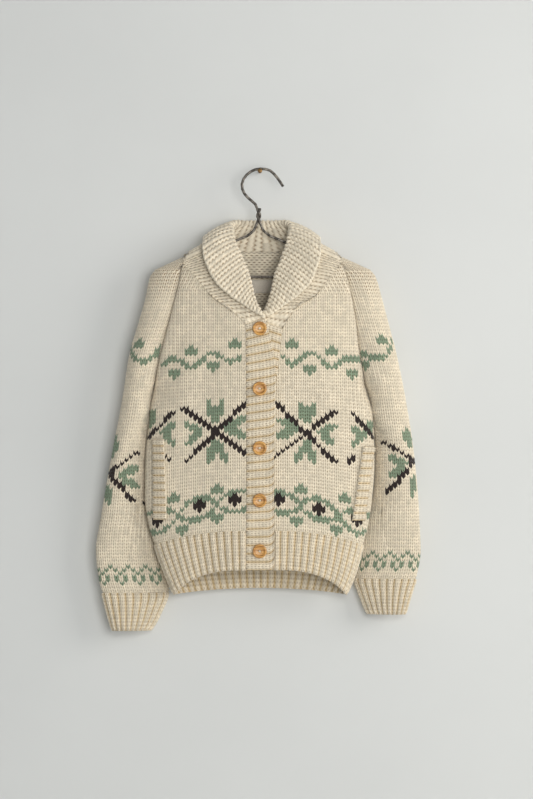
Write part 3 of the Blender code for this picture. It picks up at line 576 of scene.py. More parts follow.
def lay_rows(surface, level, count, reach, anchor, columns, rows, slant):
    """Points of a grid of stitches, counted out from the anchor and cut off at the panel's
    edges: a course number and a distance along the row give each point."""
    courses = np.arange(-rows, rows * count + 1) / rows
    wales = np.arange(-round(reach[0] * columns), round(reach[1] * columns) + 1) / columns
    nominal = np.clip(courses, 0, count)
    share, lengths, start = row_lengths(surface, level, nominal, anchor)
    u = np.stack([
        np.interp(wales * WALE + first, row, share) for first, row in zip(start, lengths)])
    rise = slant * np.abs(2 * (wales % 1) - 1)
    course = np.clip(courses[:, None] + rise[None, :], 0, count)
    v = level(u, course)
    return surface(u, v), u, wales[None, :] + 0 * u, courses[:, None] + 0 * u


def face_areas(points):
    """Area of each face of a grid, from its two diagonals."""
    first = points[1:, 1:] - points[:-1, :-1]
    second = points[1:, :-1] - points[:-1, 1:]
    return np.linalg.norm(np.cross(first, second), axis=-1) / 2


def steps_from_edge(keep, most=4):
    """How many grid steps each point lies inside the kept faces, up to a few."""
    inside = np.zeros((keep.shape[0] + 1, keep.shape[1] + 1), int)
    for a in (0, 1):
        for b in (0, 1):
            inside[a:a + keep.shape[0], b:b + keep.shape[1]] += keep
    steps = np.where(inside == 4, most, 0)
    for distance in range(1, most):
        near = np.pad(steps, 1, mode="edge")
        lowest = np.minimum.reduce([near[:-2, 1:-1], near[2:, 1:-1], near[1:-1, :-2],
                                    near[1:-1, 2:]])
        steps = np.where((steps > distance) & (lowest < distance), distance, steps)
    return steps


def face_out(points, flip):
    """Outward direction at each point of a grid, from its neighbours along both ways."""
    out = unit(np.cross(np.gradient(points, axis=1), np.gradient(points, axis=0)))
    return -out if flip else out


class Cloth:
    """Faces, stitch coordinates and yarn colours of one piece, gathered before its mesh."""

    def __init__(self):
        self.points, self.faces, self.coords, self.colours, self.finishes = [], [], [], [], []
        self.count = 0

    def gather(self, points, coords, faces, colours, finish):
        """Keeps some points and the faces between them."""
        self.points.append(points)
        self.coords.append(coords)
        self.faces.append(faces)
        self.colours.append(colours)
        self.finishes.append(np.full(len(faces), finish))
        self.count += len(points)

    def add_grid(self, points, coords, keep=None, colours=None, flip=False, finish=0):
        """A grid's kept faces, and the number of its first point."""
        rows, columns = points.shape[:2]
        keep = np.ones((rows - 1, columns - 1), bool) if keep is None else keep
        index = np.arange(rows * columns).reshape(rows, columns) + self.count
        quads = np.stack([index[:-1, :-1], index[:-1, 1:], index[1:, 1:], index[1:, :-1]], -1)
        if flip:
            quads = quads[..., ::-1]
        if colours is None:
            colours = np.broadcast_to(YARNS[CREAM], keep.shape + (4,))
        self.gather(points.reshape(-1, 3), coords.reshape(-1, 2), quads[keep], colours[keep], finish)
        return index, quads[keep]

    def add_rim(self, index, quads, points, out, depth):
        """Turns a grid's open edge in by a depth, so that the piece shows its thickness."""
        edges = np.concatenate([quads[:, [side, (side + 1) % 4]] for side in range(4)])
        order = np.sort(edges, axis=1)
        _, first, number = np.unique(order, axis=0, return_index=True, return_counts=True)
        rim = edges[first[number == 1]]
        used, place = np.unique(rim, return_inverse=True)
        place = place.reshape(rim.shape) + self.count
        local = used - index[0, 0]
        turned = points.reshape(-1, 3)[local] - out.reshape(-1, 3)[local] * depth
        faces = np.stack([rim[:, 1], rim[:, 0], place[:, 0], place[:, 1]], -1)
        # the rim's holes take only a little painted shade
        colours = np.broadcast_to(YARNS[CREAM] * (1, 1, 1, RIM_HOLE_SHADE), (len(rim), 4))
        self.gather(turned, np.concatenate(self.coords)[used], faces, colours, 0)

    def make(self, node_name):
        """The knitted piece of a node, from all that was gathered."""
        used, corners = np.unique(np.concatenate(self.faces), return_inverse=True)
        corners = corners.ravel()
        mesh = bpy.data.meshes.new(f"knit_{node_name}")
        mesh.vertices.add(len(used))
        mesh.loops.add(len(corners))
        mesh.polygons.add(len(corners) // 4)
        fill(mesh.vertices, "co", np.concatenate(self.points)[used] * MM)
        fill(mesh.loops, "vertex_index", corners, np.int32)
        fill(mesh.polygons, "loop_start", np.arange(0, len(corners), 4), np.int32)
        fill(mesh.polygons, "material_index", np.concatenate(self.finishes), np.int32)
        fill(mesh.polygons, "use_smooth", np.ones(len(mesh.polygons)), bool)
        mesh.update(calc_edges=True)
        layer = mesh.uv_layers.new(name="stitches")
        fill(layer.data, "uv", np.concatenate(self.coords)[used][corners])
        # each corner's yarn colour carries in its alpha how dark the painted shade in its holes is
        yarn = mesh.color_attributes.new(name="yarn", type="FLOAT_COLOR", domain="CORNER")
        fill(yarn.data, "color", np.repeat(np.concatenate(self.colours), 4, axis=0))
        for finish in (PLAIN, PURL, INSIDE_WOOL):
            mesh.materials.append(finish)
        return placed(f"knit_{node_name}", mesh, node_name)


def fill(target, key, values, kind=np.float32):
    """Writes an array into one property of all a mesh's points, corners or faces."""
    target.foreach_set(key, values.astype(kind).ravel())


# ---------------------------------------------------------------------------------------
# Colourwork: leaves, flowers, vines and crosses, in millimetres on the garment's front
# ---------------------------------------------------------------------------------------

# Half of a star: two dark lines that cross, and a pair of leaves in each quarter.
STAR_LINES = table("x0 z0 x1 z1", [(-42, 31, 51, -37), (49, 43, -40, -46)])
STAR_LEAVES = table("x0 z0 x1 z1", [
    (0, 15, -12, 45), (3, 15, 15, 46), (0, -17, -7, -47), (4, -17, 18, -44),
    (-18, -1, -42, 9), (-18, -3, -40, -20), (20, 5, 46, 18), (20, 1, 48, -8),
])
STARS = {
    "front_right": [(-69, -393, 1)],
    "front_left": [(72, -395, -1)],
    "back": [(-114, -393, 1), (0, -393, 1), (114, -393, -1)],
}
LINES = {
    "front_right": [(-127.5, -364.5, -170.4, -407), (-141.5, -432, -127.5, -441)],
    "front_left": [(136.5, -364.5, 171.5, -406), (131, -440, 143.5, -433)],
    "sleeve_right": [(-181.5, -424.5, -225, -456), (-225, -456, -189.5, -501),
                     (-172.5, -502, -172, -506)],
    "sleeve_left": [(186, -411, 229.5, -439), (229.5, -439, 191, -487.5),
                    (172.5, -487, 172, -491)],
}
LEAVES = {
    "front_right": [(-147, -396, -127.5, -385), (-142.5, -399, -129, -415),
                    (-160.5, -363, -166.5, -388)],
    "front_left": [(159, -405, 138, -389), (157, -400, 138, -416), (163, -380, 168, -392)],
    "sleeve_right": [(-210, -460, -184, -449), (-207, -465, -186, -478),
                     (-216, -404, -221, -433), (-228, -476, -225, -505)],
    "sleeve_left": [(216, -444, 192, -434), (214, -447, 195, -463),
                    (217, -392, 224, -418), (229, -463, 225, -491)],
}
VINES = {
    "front_right": table("x z", [
        (-150, -298), (-133.5, -286.5), (-117, -292), (-100.5, -299), (-86, -288),
        (-72, -277.5), (-57, -284), (-43, -290.5), (-24, -280)]),
    "front_left": table("x z", [
        (31, -281), (46.5, -294.5), (61.5, -286), (77, -277.5), (91.5, -288), (107, -299),
        (120, -291), (134, -286), (147, -287), (160, -295)]),
    "sleeve_right": table("x z", [
        (-198, -262), (-191, -272), (-183, -285), (-172.5, -291), (-162, -287),
        (-153, -279), (-147, -272)]),
    "sleeve_left": table("x z", [
        (146, -275), (154.5, -280.5), (163.5, -284), (172.5, -284.5), (181.5, -282),
        (189, -274.5), (196, -261)]),
}
SPRIGS = {
    "front_right": [(-104, -279, 1), (-40.5, -270, 1), (-132, -303, -1), (-69.6, -296, -1),
                    (-62, -485, 1), (-129, -501, 1), (-63, -521, -1), (-119, -537, -1)],
    "front_left": [(45, -270, 1), (110.5, -277, 1), (76.4, -297, -1), (139.5, -303, -1),
                   (61.4, -487, 1), (125.5, -501, 1), (54, -523, -1), (114, -538, -1)],
    "sleeve_right": [(-174, -268, 1), (-155, -297, -1)],
    "sleeve_left": [(176, -263, 1), (156, -292, -1)],
}
FLOWERS = {
    "front_right": table("x z", [(-152, -532), (-92, -509.5), (-34.5, -498)]),
    "front_left": table("x z", [(30, -500), (89, -511.5), (145, -532)]),
    "back": table("x z", [(-150, -530), (-90, -510), (-30, -500), (30, -500), (90, -510),
                          (150, -530)]),
}
LOOPS = {"sleeve_right": (-211.0, -597.0), "sleeve_left": (205.0, -577.0)}
BACK_WAVE = 60.0
SPRIGS["back"] = [
    (BACK_WAVE * (turn + shift), z - droop * turn ** 2, up) for turn in range(-2, 3)
    for shift, z, droop, up in ((0, -297.5, 0, -1), (0.5, -278, 0, 1), (0, -487, 0.8, 1),
                                (0, -524, 0.8, -1))]
WAVE_Z, WAVE_HEIGHT, WAVE_SLOPE = -288, 8, 0.84
FLOWERS_APART, CHAIN_HEIGHT = 59.0, 15.5
LINE_SHARE = 0.70         # half of a line's thickness, in stitches
VINE_SHARE = 0.80
LEAF_HALF = 6.3

# Small repeats, charted a stitch at a time, top row first
SPRIG_UP = (".X.", "XXX", "XXX")
SPRIG_DOWN = ("XXX", "XXX", ".X.")
FLOWER = (".X.", "XXX", "XXX", ".X.")
LOOP = ("..X.", ".X.X", "X...", ".X.X", ".X.X", "X...")


def to_line(x, z, x0, z0, x1, z1):
    """Distance of each place from a line between two ends, and its share along it."""
    dx, dz = x1 - x0, z1 - z0
    along = np.clip(((x - x0) * dx + (z - z0) * dz) / (dx * dx + dz * dz), 0, 1)
    return np.hypot(x - x0 - along * dx, z - z0 - along * dz), along


def on_line(x, z, x0, z0, x1, z1):
    """Places on a line that takes one stitch of each course, or of each wale where it is
    flatter than a stitch's diagonal."""
    dx, dz = x1 - x0, z1 - z0
    if abs(dz) / COURSE > 0.8 * abs(dx) / WALE:
        along = (z - z0) / dz
        near = np.abs(x - x0 - along * dx) < LINE_SHARE * WALE
    else:
        along = (x - x0) / dx
        near = np.abs(z - z0 - along * dz) < LINE_SHARE * COURSE
    return near & (along > -0.02) & (along < 1.02)


def on_vine(x, z, height, slope):
    """Places on a vine: thicker where it is steep, so that it stays joined."""
    return np.abs(z - height) < VINE_SHARE * np.maximum(COURSE, np.abs(slope) * WALE)


def in_leaf(x, z, x0, z0, x1, z1):
    """A leaf from its stem to its tip: widest a little past its middle."""
    away, along = to_line(x, z, x0, z0, x1, z1)
    return away < LEAF_HALF * np.sin(math.pi * (0.12 + 0.80 * along)) ** 0.7


def nearest_stitch(stitches, place, around):
    """Wale and course of the stitch that lies nearest to a place."""
    x, z, wale, course = stitches
    nearest = np.argmin(np.where(around, np.hypot(x - place[0], z - place[1]), np.inf))
    return wale.flat[nearest], course.flat[nearest]


def stamp(yarn, colour, chart, stitches, place, around):
    """Knits a small chart with its middle on the stitch that lies nearest to a place."""
    wale, course = stitches[2:]
    wale0, course0 = nearest_stitch(stitches, place, around)
    for row, marks in enumerate(chart):
        for column, mark in enumerate(marks):
            if mark == "X":
                here = (wale == wale0 + column - len(marks) // 2)
                yarn[here & (course == course0 + len(chart) // 2 - row) & around] = colour


def painted(panel, x, z, wale, course, halves):
    """Yarn of each stitch of a panel, from the place of its middle and its number. Halves
    are the panel's parts that a motif is knitted on again, such as a sleeve's back."""
    yarn = np.full(x.shape, CREAM)
    stitches = x, z, wale, course
    leaves, lines = list(LEAVES.get(panel, [])), list(LINES.get(panel, []))
    for x0, z0, sign in STARS.get(panel, []):
        for made, part in ((lines, STAR_LINES), (leaves, STAR_LEAVES)):
            made.extend((x0 + a * sign, z0 + b, x0 + c * sign, z0 + d)
                        for a, b, c, d in zip(*part.values()))
    if panel in VINES:
        rows = VINES[panel]
        slope = np.interp(x, rows["x"], np.gradient(rows["z"], rows["x"]))
        inside = (x > rows["x"][0]) & (x < rows["x"][-1])
        yarn[inside & on_vine(x, z, read(rows, "z", x), slope)] = SAGE
    if panel == "back":
        phase = 2 * math.pi * x / BACK_WAVE
        height = WAVE_Z + WAVE_HEIGHT * np.cos(phase)
        yarn[on_vine(x, z, height, -WAVE_SLOPE * np.sin(phase))] = SAGE
    if panel in FLOWERS:
        rows = FLOWERS[panel]
        first, last = rows["x"][0], rows["x"][-1]
        order = np.interp(x, rows["x"], np.arange(len(rows["x"])))
        order = order + np.minimum(x - first, 0) / FLOWERS_APART
        order = order + np.maximum(x - last, 0) / FLOWERS_APART
        swing = CHAIN_HEIGHT * np.abs(np.cos(math.pi * order)) ** 0.7
        away = np.abs(np.abs(z - read(rows, "z", x)) - swing)
        yarn[away < VINE_SHARE * COURSE] = SAGE
    for leaf in leaves:
        yarn[in_leaf(x, z, *leaf)] = SAGE
    for line in lines:
        yarn[on_line(x, z, *line)] = DARK
    for around in halves:
        for x0, z0, up in SPRIGS.get(panel, []):
            chart = SPRIG_UP if up > 0 else SPRIG_DOWN
            stamp(yarn, SAGE, chart, stitches, (x0, z0 + COURSE * up), around)
        for place in zip(*FLOWERS[panel].values()) if panel in FLOWERS else ():
            stamp(yarn, DARK, FLOWER, stitches, place, around)
    if panel in LOOPS:
        wale0, course0 = nearest_stitch(stitches, LOOPS[panel], halves[0])
        column = ((wale - wale0) % len(LOOP[0])).astype(int)
        row = (course0 - course).astype(int)
        chart = np.array([[mark == "X" for mark in marks] for marks in LOOP])
        within = (row >= 0) & (row < len(LOOP))
        yarn[within & chart[np.clip(row, 0, len(LOOP) - 1), column]] = SAGE
    return yarn


# ---------------------------------------------------------------------------------------
# Finishes
# ---------------------------------------------------------------------------------------

def node(tree, kind, inputs, **settings):
    """A shader node. Its inputs, by name or number, take values or other nodes' outputs."""
    made = tree.nodes.new(kind)
    for name, value in settings.items():
        setattr(made, name, value)
    for key, value in inputs.items():
        if isinstance(value, bpy.types.NodeSocket):
            tree.links.new(value, made.inputs[key])
        else:
            made.inputs[key].default_value = value
    return made.outputs


def maths(tree, operation, *values, clamp=False):
    """A Math node on up to three outputs or numbers."""
    return node(tree, "ShaderNodeMath", dict(enumerate(values)), operation=operation,
                use_clamp=clamp)[0]


def wave(tree, value):
    """1 where a value is whole and 0 half-way between, along a cosine."""
    turned = maths(tree, "COSINE", maths(tree, "MULTIPLY", value, 2 * math.pi))
    return maths(tree, "MULTIPLY_ADD", turned, 0.5, 0.5)


def noise(tree, scale, detail, **more):
    """Noise on the object's own coordinates, with a number of specks to a metre."""
    place = node(tree, "ShaderNodeTexCoord", {})["Object"]
    return node(tree, "ShaderNodeTexNoise",
                {"Vector": place, "Scale": scale, "Detail": detail, **more})[0]


# Holes between plain stitches, sunk in the relief and darkened with painted shade: their sharpness,
# and how dark that shade is at a stitch's sides, in its middle and between its legs. Purl rows have
# grooves with a dot of painted shade for each stitch.
SHARP, SIDES, INSIDE_STITCH, BETWEEN_LEGS = 6.0, 0.72, 0.85, 0.14
GROOVE, DOTS = 3.2, 1.2
HOLE_SHADE_COLOUR = (0.27, 0.165, 0.072, 1.0)


def yarn_group():
    """Wool's colour and height in stitch coordinates: the legs of plain stitches or the bumps
    of purl ones, the small holes between them, sunk in the relief and darkened with painted shade,
    uneven from stitch to stitch, the twist of the yarn and loose fibres. Purl is 0 on plain stitches
    and 1 on purl ones, the shade input sets how dark the painted shade in the holes is, and Line is
    how far the holes of a purl row run together."""
    tree = bpy.data.node_groups.new("wool_yarn", "ShaderNodeTree")
    for label, value in (("Purl", 0.0), ("Hole Shade", 0.8), ("Line", 0.38)):
        socket = tree.interface.new_socket(label, in_out="INPUT", socket_type="NodeSocketFloat")
        socket.default_value = value
    for label, kind in (("Color", "NodeSocketColor"), ("Height", "NodeSocketFloat")):
        tree.interface.new_socket(label, in_out="OUTPUT", socket_type=kind)
    given = node(tree, "NodeGroupInput", {})
    times, plus, minus, power, larger, scaled = (partial(maths, tree, operation) for operation in (
        "MULTIPLY", "ADD", "SUBTRACT", "POWER", "MAXIMUM", "MULTIPLY_ADD"))
    coords = node(tree, "ShaderNodeUVMap", {}, uv_map="stitches")[0]
    across, up, _ = node(tree, "ShaderNodeSeparateXYZ", {0: coords})
    stitch = node(tree, "ShaderNodeVectorMath", {0: coords}, operation="FLOOR")[0]
    chance = node(tree, "ShaderNodeTexWhiteNoise", {"Vector": stitch}, noise_dimensions="2D")["Value"]
    yarn = node(tree, "ShaderNodeAttribute", {}, attribute_name="yarn")

    between, level, legs = wave(tree, across), wave(tree, up), wave(tree, times(across, 2.0))
    side_hole = times(power(between, SHARP), times(level, SIDES))
    inner = times(power(minus(1.0, between), SHARP), minus(1.0, level))
    plain_hole = larger(side_hole, times(inner, INSIDE_STITCH))
    plain_hole = larger(plain_hole, times(power(legs, SHARP), BETWEEN_LEGS))
    odd_row = maths(tree, "MODULO", maths(tree, "FLOOR", plus(up, 0.5)), 2.0)
    dots = power(wave(tree, plus(across, times(odd_row, 0.5))), DOTS)
    line = given["Line"]
    purl_hole = times(power(level, GROOVE), scaled(dots, minus(1.0, line), line))
    hole = node(tree, "ShaderNodeMix", {0: given["Purl"], 2: plain_hole, 3: purl_hole},
                data_type="FLOAT")[0]

    fibres = noise(tree, 1100.0, 3.0, Roughness=0.65)
    heather = noise(tree, 70.0, 5.0)
    twist = wave(tree, plus(times(across, 1.6), times(up, 2.0)))
    height = plus(minus(scaled(twist, 0.10, 0.9), hole), times(fibres, 0.34))
    # painted shade in the holes: how far their colour goes towards the shade colour, scaled by the
    # yarn's alpha
    depth = times(times(hole, scaled(chance, 0.7, 0.65)), given["Hole Shade"])
    depth = times(depth, yarn["Alpha"], clamp=True)
    shade = node(tree, "ShaderNodeMix", {0: depth, 6: yarn["Color"], 7: HOLE_SHADE_COLOUR},
                 data_type="RGBA", blend_type="MULTIPLY")[2]
    vary = times(scaled(heather, 0.30, 0.85), scaled(fibres, 0.36, 0.84))
    vary = times(vary, scaled(chance, 0.22, 0.89))
    tone = node(tree, "ShaderNodeVectorMath", {0: shade, "Scale": vary}, operation="SCALE")[0]
    node(tree, "NodeGroupOutput", {"Color": tone, "Height": height})
    return tree


def finish(name, **values):
    """A material and its Principled shader, with plain values on the shader's own sockets."""
    made = bpy.data.materials.new(name)
    made.use_nodes = True
    shader = made.node_tree.nodes["Principled BSDF"]
    for label, value in values.items():
        shader.inputs[label.replace("_", " ")].default_value = value
    return made, made.node_tree, shader


def coloured(tree, shader, colour, height, bump):
    """Links a colour to a shader, and a relief of a depth in metres."""
    raised = node(tree, "ShaderNodeBump", {"Height": height, "Distance": bump})[0]
    tree.links.new(colour, shader.inputs["Base Color"])
    tree.links.new(raised, shader.inputs["Normal"])


def wool(name, effect, purl, hole_shade, line, bump):
    """Knitted wool: plain or purl stitches with painted shade in their holes, matt with a soft sheen.
    """
    made, tree, shader = finish(name, Roughness=0.93, Sheen_Weight=0.28, Sheen_Roughness=0.45,
                                Specular_IOR_Level=0.15)
    yarn = tree.nodes.new("ShaderNodeGroup")
    yarn.node_tree = effect
    for label, value in (("Purl", purl), ("Hole Shade", hole_shade), ("Line", line)):
        yarn.inputs[label].default_value = value
    coloured(tree, shader, yarn.outputs["Color"], yarn.outputs["Height"], bump)
    return made


effect = yarn_group()
PLAIN = wool("cream_knit", effect, purl=0.0, hole_shade=1.1, line=0.0, bump=0.0010)
PURL = wool("cream_purl", effect, purl=1.0, hole_shade=1.0, line=0.38, bump=0.0009)
INSIDE_WOOL = wool("cream_inside", effect, purl=1.0, hole_shade=1.5, line=0.0, bump=0.0012)


def linked(name, data):
    """A named object in the scene."""
    thing = bpy.data.objects.new(name, data)
    bpy.context.scene.collection.objects.link(thing)
    return thing


def placed(name, data, node_name):
    """A named object that rides on the body and stands for a node."""
    thing = linked(name, data)
    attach(thing, "root")
    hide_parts(node_name)
    return thing


# ---------------------------------------------------------------------------------------
# Knitted pieces
# ---------------------------------------------------------------------------------------

INSET = [0, 1, 2, 3]       # grid steps in from a panel's edge
RELIEF_AT = [0, 0.5, 0.85, 1]         # share of the stitches' height at those steps
TURNED_AT = [1, 0.36, 0.08, 0]        # share of the edge's turn
NO_FACE = 0.05             # a cut-off grid's faces are smaller than this, in square mm
SHOULDER_HOLE_SHADE = 0.6          # more painted shade in the holes at the shoulders
FIRST = 100                # a piece's stitch numbers start here, so that none is below 0
INSIDE_SPREAD = np.array([0.85, 1.45])        # purl stitches drawn to a face on the inside
# painted shade in the hollows of ribbing: colour and hole darkness there
HOLLOW_SHADE_TINT = np.array([0.78, 0.66, 0.46, 1.2])
RIB_ROWS, RIB_COLUMNS = 4, 12         # grid steps to a course and to a rib
END_TURN, SIDE_TURN = 1.1, 1.0        # how far ribbing turns in at its ends and sides
RIM_SHORT = 0.6            # how far that edge stops short of the inside
INSIDE_WALL, INSIDE_RIB = 1.2, 1.6    # how much nearer the inside lies, and its ribs' height
# The collar's slipped stitch: place, width and height, and how the edge thins outside it
SELVEDGE_AT, SELVEDGE_WIDTH, SELVEDGE_HEIGHT = 2.2, 1.7, 1.15
THIN_BY, THIN_OVER = 1.5, 1.1
COLLAR_IN = 0.3            # how far each side of the collar's wall lies in, under its relief


def lively(wale, course, seed):
    """How high each stitch stands, against the others."""
    return 0.86 + 0.28 * uneven(wale, course, seed)


def knit_piece(panel, surface, level, count, reach, anchor, flip):
    """A panel of plain stitches: the grid of stitches stands on its surface, its edges turn
    in at the seams, and a coarser grid of purl stitches is its inside."""
    cloth = Cloth()
    points, u, wales, courses = lay_rows(
        surface, level, count, reach, anchor, WALE_POINTS, COURSE_POINTS, SLANT)
    out = face_out(points, flip)
    keep = face_areas(points) > NO_FACE
    steps = steps_from_edge(keep)
    wale, course = np.floor(wales + 1e-6), np.floor(courses + 1e-6)
    relief = plain_stitch(wales, courses) * lively(wale, course, 1)
    relief = relief * np.interp(steps, INSET, RELIEF_AT)
    turned = EDGE_TURN * np.interp(steps, INSET, TURNED_AT)
    raised = points + out * (relief - turned + fold_height(points))[..., None]
    wale, course = wale[:-1, :-1], course[:-1, :-1]
    row = np.clip(((course + 1.5) * COURSE_POINTS).astype(int), 0, points.shape[0] - 1)
    column = ((wale + 0.5 + reach[0]) * WALE_POINTS).astype(int)
    column = np.clip(column, 0, points.shape[1] - 1)
    x, z = motif_place(panel, points[row, column], u[row, column])
    half = u[:-1, :-1] < 0.5
    halves = [half, ~half] if "sleeve" in panel else [half | True]
    colours = YARNS[painted(panel, x, z, wale, course, halves)]
    # more painted shade in the holes at the shoulders
    colours[..., 3] += shoulder_hole_shade(points)[:-1, :-1]
    coords = np.stack([wales, courses], axis=-1) + FIRST
    index, quads = cloth.add_grid(raised, coords, keep, colours, flip)
    cloth.add_rim(index, quads, raised, out, WALL - EDGE_TURN)
    inside, _, wales, courses = lay_rows(surface, level, count, reach, anchor, 1, 1, 0.0)
    inside = inside + face_out(inside, flip) * (fold_height(inside) - WALL)[..., None]
    coords = np.stack([wales, courses], axis=-1) * INSIDE_SPREAD + FIRST
    cloth.add_grid(inside, coords, face_areas(inside) > NO_FACE, None, not flip, 2)
    return cloth.make(panel)


def shoulder_hole_shade(points):
    """Extra painted shade in the holes at the tops of the shoulders, where the cloth hangs stretched
    and its holes are wider.
    """
    x, z = np.abs(points[..., 0] - 3), points[..., 2]
    return SHOULDER_HOLE_SHADE * smooth_step((z + 205) / 50) * smooth_step((x - 90) / 40)


def motif_place(panel, points, u):
    """Place that a point's motif is read at. A sleeve's is measured round from its outer
    edge, so that the colourwork runs on over its back."""
    x, z = points[..., 0], points[..., 2]
    if "sleeve" not in panel:
        return x, z
    wearer = panel[7:]
    sign = -1 if wearer == "right" else 1
    outer, inner = np.abs(read(OUTER, wearer, z)), np.abs(read(INNER, wearer, z))
    inner = np.where(z > UNDERARM, np.abs(read(BODY, wearer, z)), inner)
    return sign * (outer - (outer - inner) * np.abs(2 * u - 1)), z


def shaded_in_hollows(share):
    """Cream yarn with painted shade: darker and warmer by the cube of how far each place lies in a
    hollow, with darker holes there too.
    """
    return YARNS[CREAM] * (1 - share[:-1, :-1, None] ** 3 * (1 - HOLLOW_SHADE_TINT))


def ribbed_piece(name, surface, levels, count, flip, closed=False, offset=0.0):
    """Ribbing: each rib is a plain wale on a ridge and a purl one in the hollow beside it, with
    a number of courses the other way. A closed one is a tube."""
    cloth = Cloth()
    rows = np.arange(0, RIB_ROWS * levels + 1) / (RIB_ROWS * levels)
    columns = np.arange(0, RIB_COLUMNS * count + 1) / (RIB_COLUMNS * count)
    rib, run = np.broadcast_arrays(columns[None, :], rows[:, None])
    wale, course = 2 * count * rib - 0.5, run * levels
    slant = SLANT * np.abs(2 * (wale % 1) - 1) / levels * np.sin(math.pi * run) ** 0.3
    place = surface(rib, np.clip(run + slant, 0, 1))
    out = face_out(place, flip)
    if closed:
        wrapped = np.concatenate([place[:, -2:-1], place, place[:, 1:2]], axis=1)
        out = face_out(wrapped, flip)[:, 1:-1]
    ridge = (0.5 - 0.5 * np.cos(2 * math.pi * count * rib)) ** 0.7
    stitch = plain_stitch(wale, course) * lively(np.floor(wale), np.floor(course), 3)
    bumps = 0.5 * np.cos(2 * math.pi * course)
    end = np.minimum(run, 1 - run) * levels * 2
    edge_turn = END_TURN * np.exp(-end ** 2)
    if not closed:
        side = np.minimum(rib, 1 - rib) * count * RIB_COLUMNS
        edge_turn = edge_turn + SIDE_TURN * np.exp(-side ** 2 / 2)
    laid = fold_height(place) + offset
    relief = RIB_SHOWN * ridge + np.where(np.floor(wale) % 2 == 1, bumps, stitch * 0.8)
    relief = relief - edge_turn
    raised = place + out * (relief + laid)[..., None]
    if closed:
        raised[:, -1] = raised[:, 0]
    coords = np.stack([wale, course], axis=-1) + FIRST
    # painted shade darkens the grooves between the ribs
    index, quads = cloth.add_grid(raised, coords, None, shaded_in_hollows(1 - ridge), flip)
    cloth.add_rim(index, quads, raised, out * (WALL - RIM_SHORT + relief)[..., None], 1.0)
    step = (slice(None, None, 2), slice(None, None, 2))
    inner = WALL - INSIDE_WALL + INSIDE_RIB * (1 - ridge) - laid
    inside = place - out * inner[..., None]
    # painted shade darkens the inside's hollows behind the ridges
    cloth.add_grid(inside[step], coords[step], None, shaded_in_hollows(ridge[step]), not flip)
    return cloth.make(name)


def run_between(surface, levels):
    """A surface of u and height as one of u and a share, from its low level to its high one."""
    def run(u, share):
        high, low = levels(u)
        return surface(u, low * (1 - share) + high * share)
    return run


def panel_level(kind, neck):
    """Heights of a body panel's courses: they follow the hem at first and are level above it."""
    def level(u, course):
        low, rise = hem_levels(kind, u)[0], course * COURSE
        z = HEM_TOP[kind] + rise + (low - HEM_TOP[kind]) * (1 - smooth_step(rise / 300))
        return np.minimum(z, neck(u))
    return level


FRONT_COURSES, BACK_COURSES = 82, 88
SHOULDER_COURSES = 11      # from a sleeve's highest level ring to the neck
HEM_COURSES, CUFF_COURSES, BAND_COURSES, POCKET_COURSES = 12, 11, 8, 4
BANDS_RIBS = 30
# A panel's stitches are counted out from an anchor, by so many to its right and its left
FRONT_REACH, BACK_REACH, SLEEVE_REACH = (18, 12), (28, 28), (19, 19)
FRONT_ANCHOR, BACK_ANCHOR, SLEEVE_ANCHOR = {"right": -80.0, "left": 84.0}, 3.0, 0.5


def sleeve_level(wearer):
    """Heights of a sleeve's courses, as sleeve() takes them, and their number."""
    tube = (SHOULDER - CUFF_TOP[wearer]) / COURSE

    def level(u, course):
        top = [0, tube, tube + SHOULDER_COURSES]
        return np.interp(course, top, [CUFF_TOP[wearer], SHOULDER, SHOULDER + 1])
    return level, math.ceil(tube + SHOULDER_COURSES)


def add(name, maker, *settings, **more):
    """Makes the piece of a node."""
    maker(name, *settings, **more)


for wearer in ("right", "left"):
    flip = wearer == "left"
    on_front = partial(front, wearer)
    hem = run_between(on_front, partial(hem_levels, "front"))
    add(f"front_{wearer}", knit_piece, on_front, panel_level("front", partial(neck_height, wearer)),
        FRONT_COURSES, FRONT_REACH, FRONT_ANCHOR[wearer], flip)
    add(f"hem_front_{wearer}", ribbed_piece, hem, HEM_COURSES, FRONT_RIBS, flip)
    level, count = sleeve_level(wearer)
    add(f"sleeve_{wearer}", knit_piece, partial(sleeve, wearer), level, count, SLEEVE_REACH,
        SLEEVE_ANCHOR, not flip)
    cuff = run_between(lambda turn, v, wearer=wearer: sleeve(wearer, turn % 1.0, v),
                       lambda turn, wearer=wearer: (CUFF_TOP[wearer], CUFF_BOTTOM[wearer]))
    add(f"cuff_{wearer}", ribbed_piece, cuff, CUFF_COURSES, CUFF_RIBS, not flip, closed=True)

add("back", knit_piece, on_body, panel_level("back", neck_back), BACK_COURSES, BACK_REACH,
    BACK_ANCHOR, True)
hem = run_between(on_body, partial(hem_levels, "back"))
add("hem_back", ribbed_piece, hem, HEM_COURSES, BACK_RIBS, True)


def band_run(rows, raised, tops):
    """A band's surface with its ribs counted up from the hem and its courses across it."""
    place = band_surface(rows, raised)

    def surface(rib, across):
        top = tops[0] + (tops[1] - tops[0]) * across + TUCKED
        corner = np.clip((across - 0.74) / 0.26, 0, 1) ** 2 if raised else 0 * across
        low = BAND_BOTTOM + 10 * (1 - np.sqrt(np.maximum(1 - corner, 0)))
        return place(across, low * (1 - rib) + top * rib)
    return surface


def pocket_run(rows):
    """A pocket edge's surface, with its ribs counted up and its courses across it."""
    low, high = rows["z"][0], rows["z"][-1]
    return lambda rib, across: band_surface(rows, False)(across, low * (1 - rib) + high * rib)


for name, run in (("buttonhole_band", band_run(TOP_BAND, True, TOP_BAND_TOP)),
                  ("button_band", band_run(UNDER_BAND, False, UNDER_BAND_TOP))):
    add(name, ribbed_piece, run, BAND_COURSES, BANDS_RIBS, True)
for wearer, rows in POCKETS.items():
    add(f"pocket_edge_{wearer}", ribbed_piece, pocket_run(rows), POCKET_COURSES,
        round((rows["z"][-1] - rows["z"][0]) / RIB_PITCH), True, offset=LAID + WALL + 0.5)


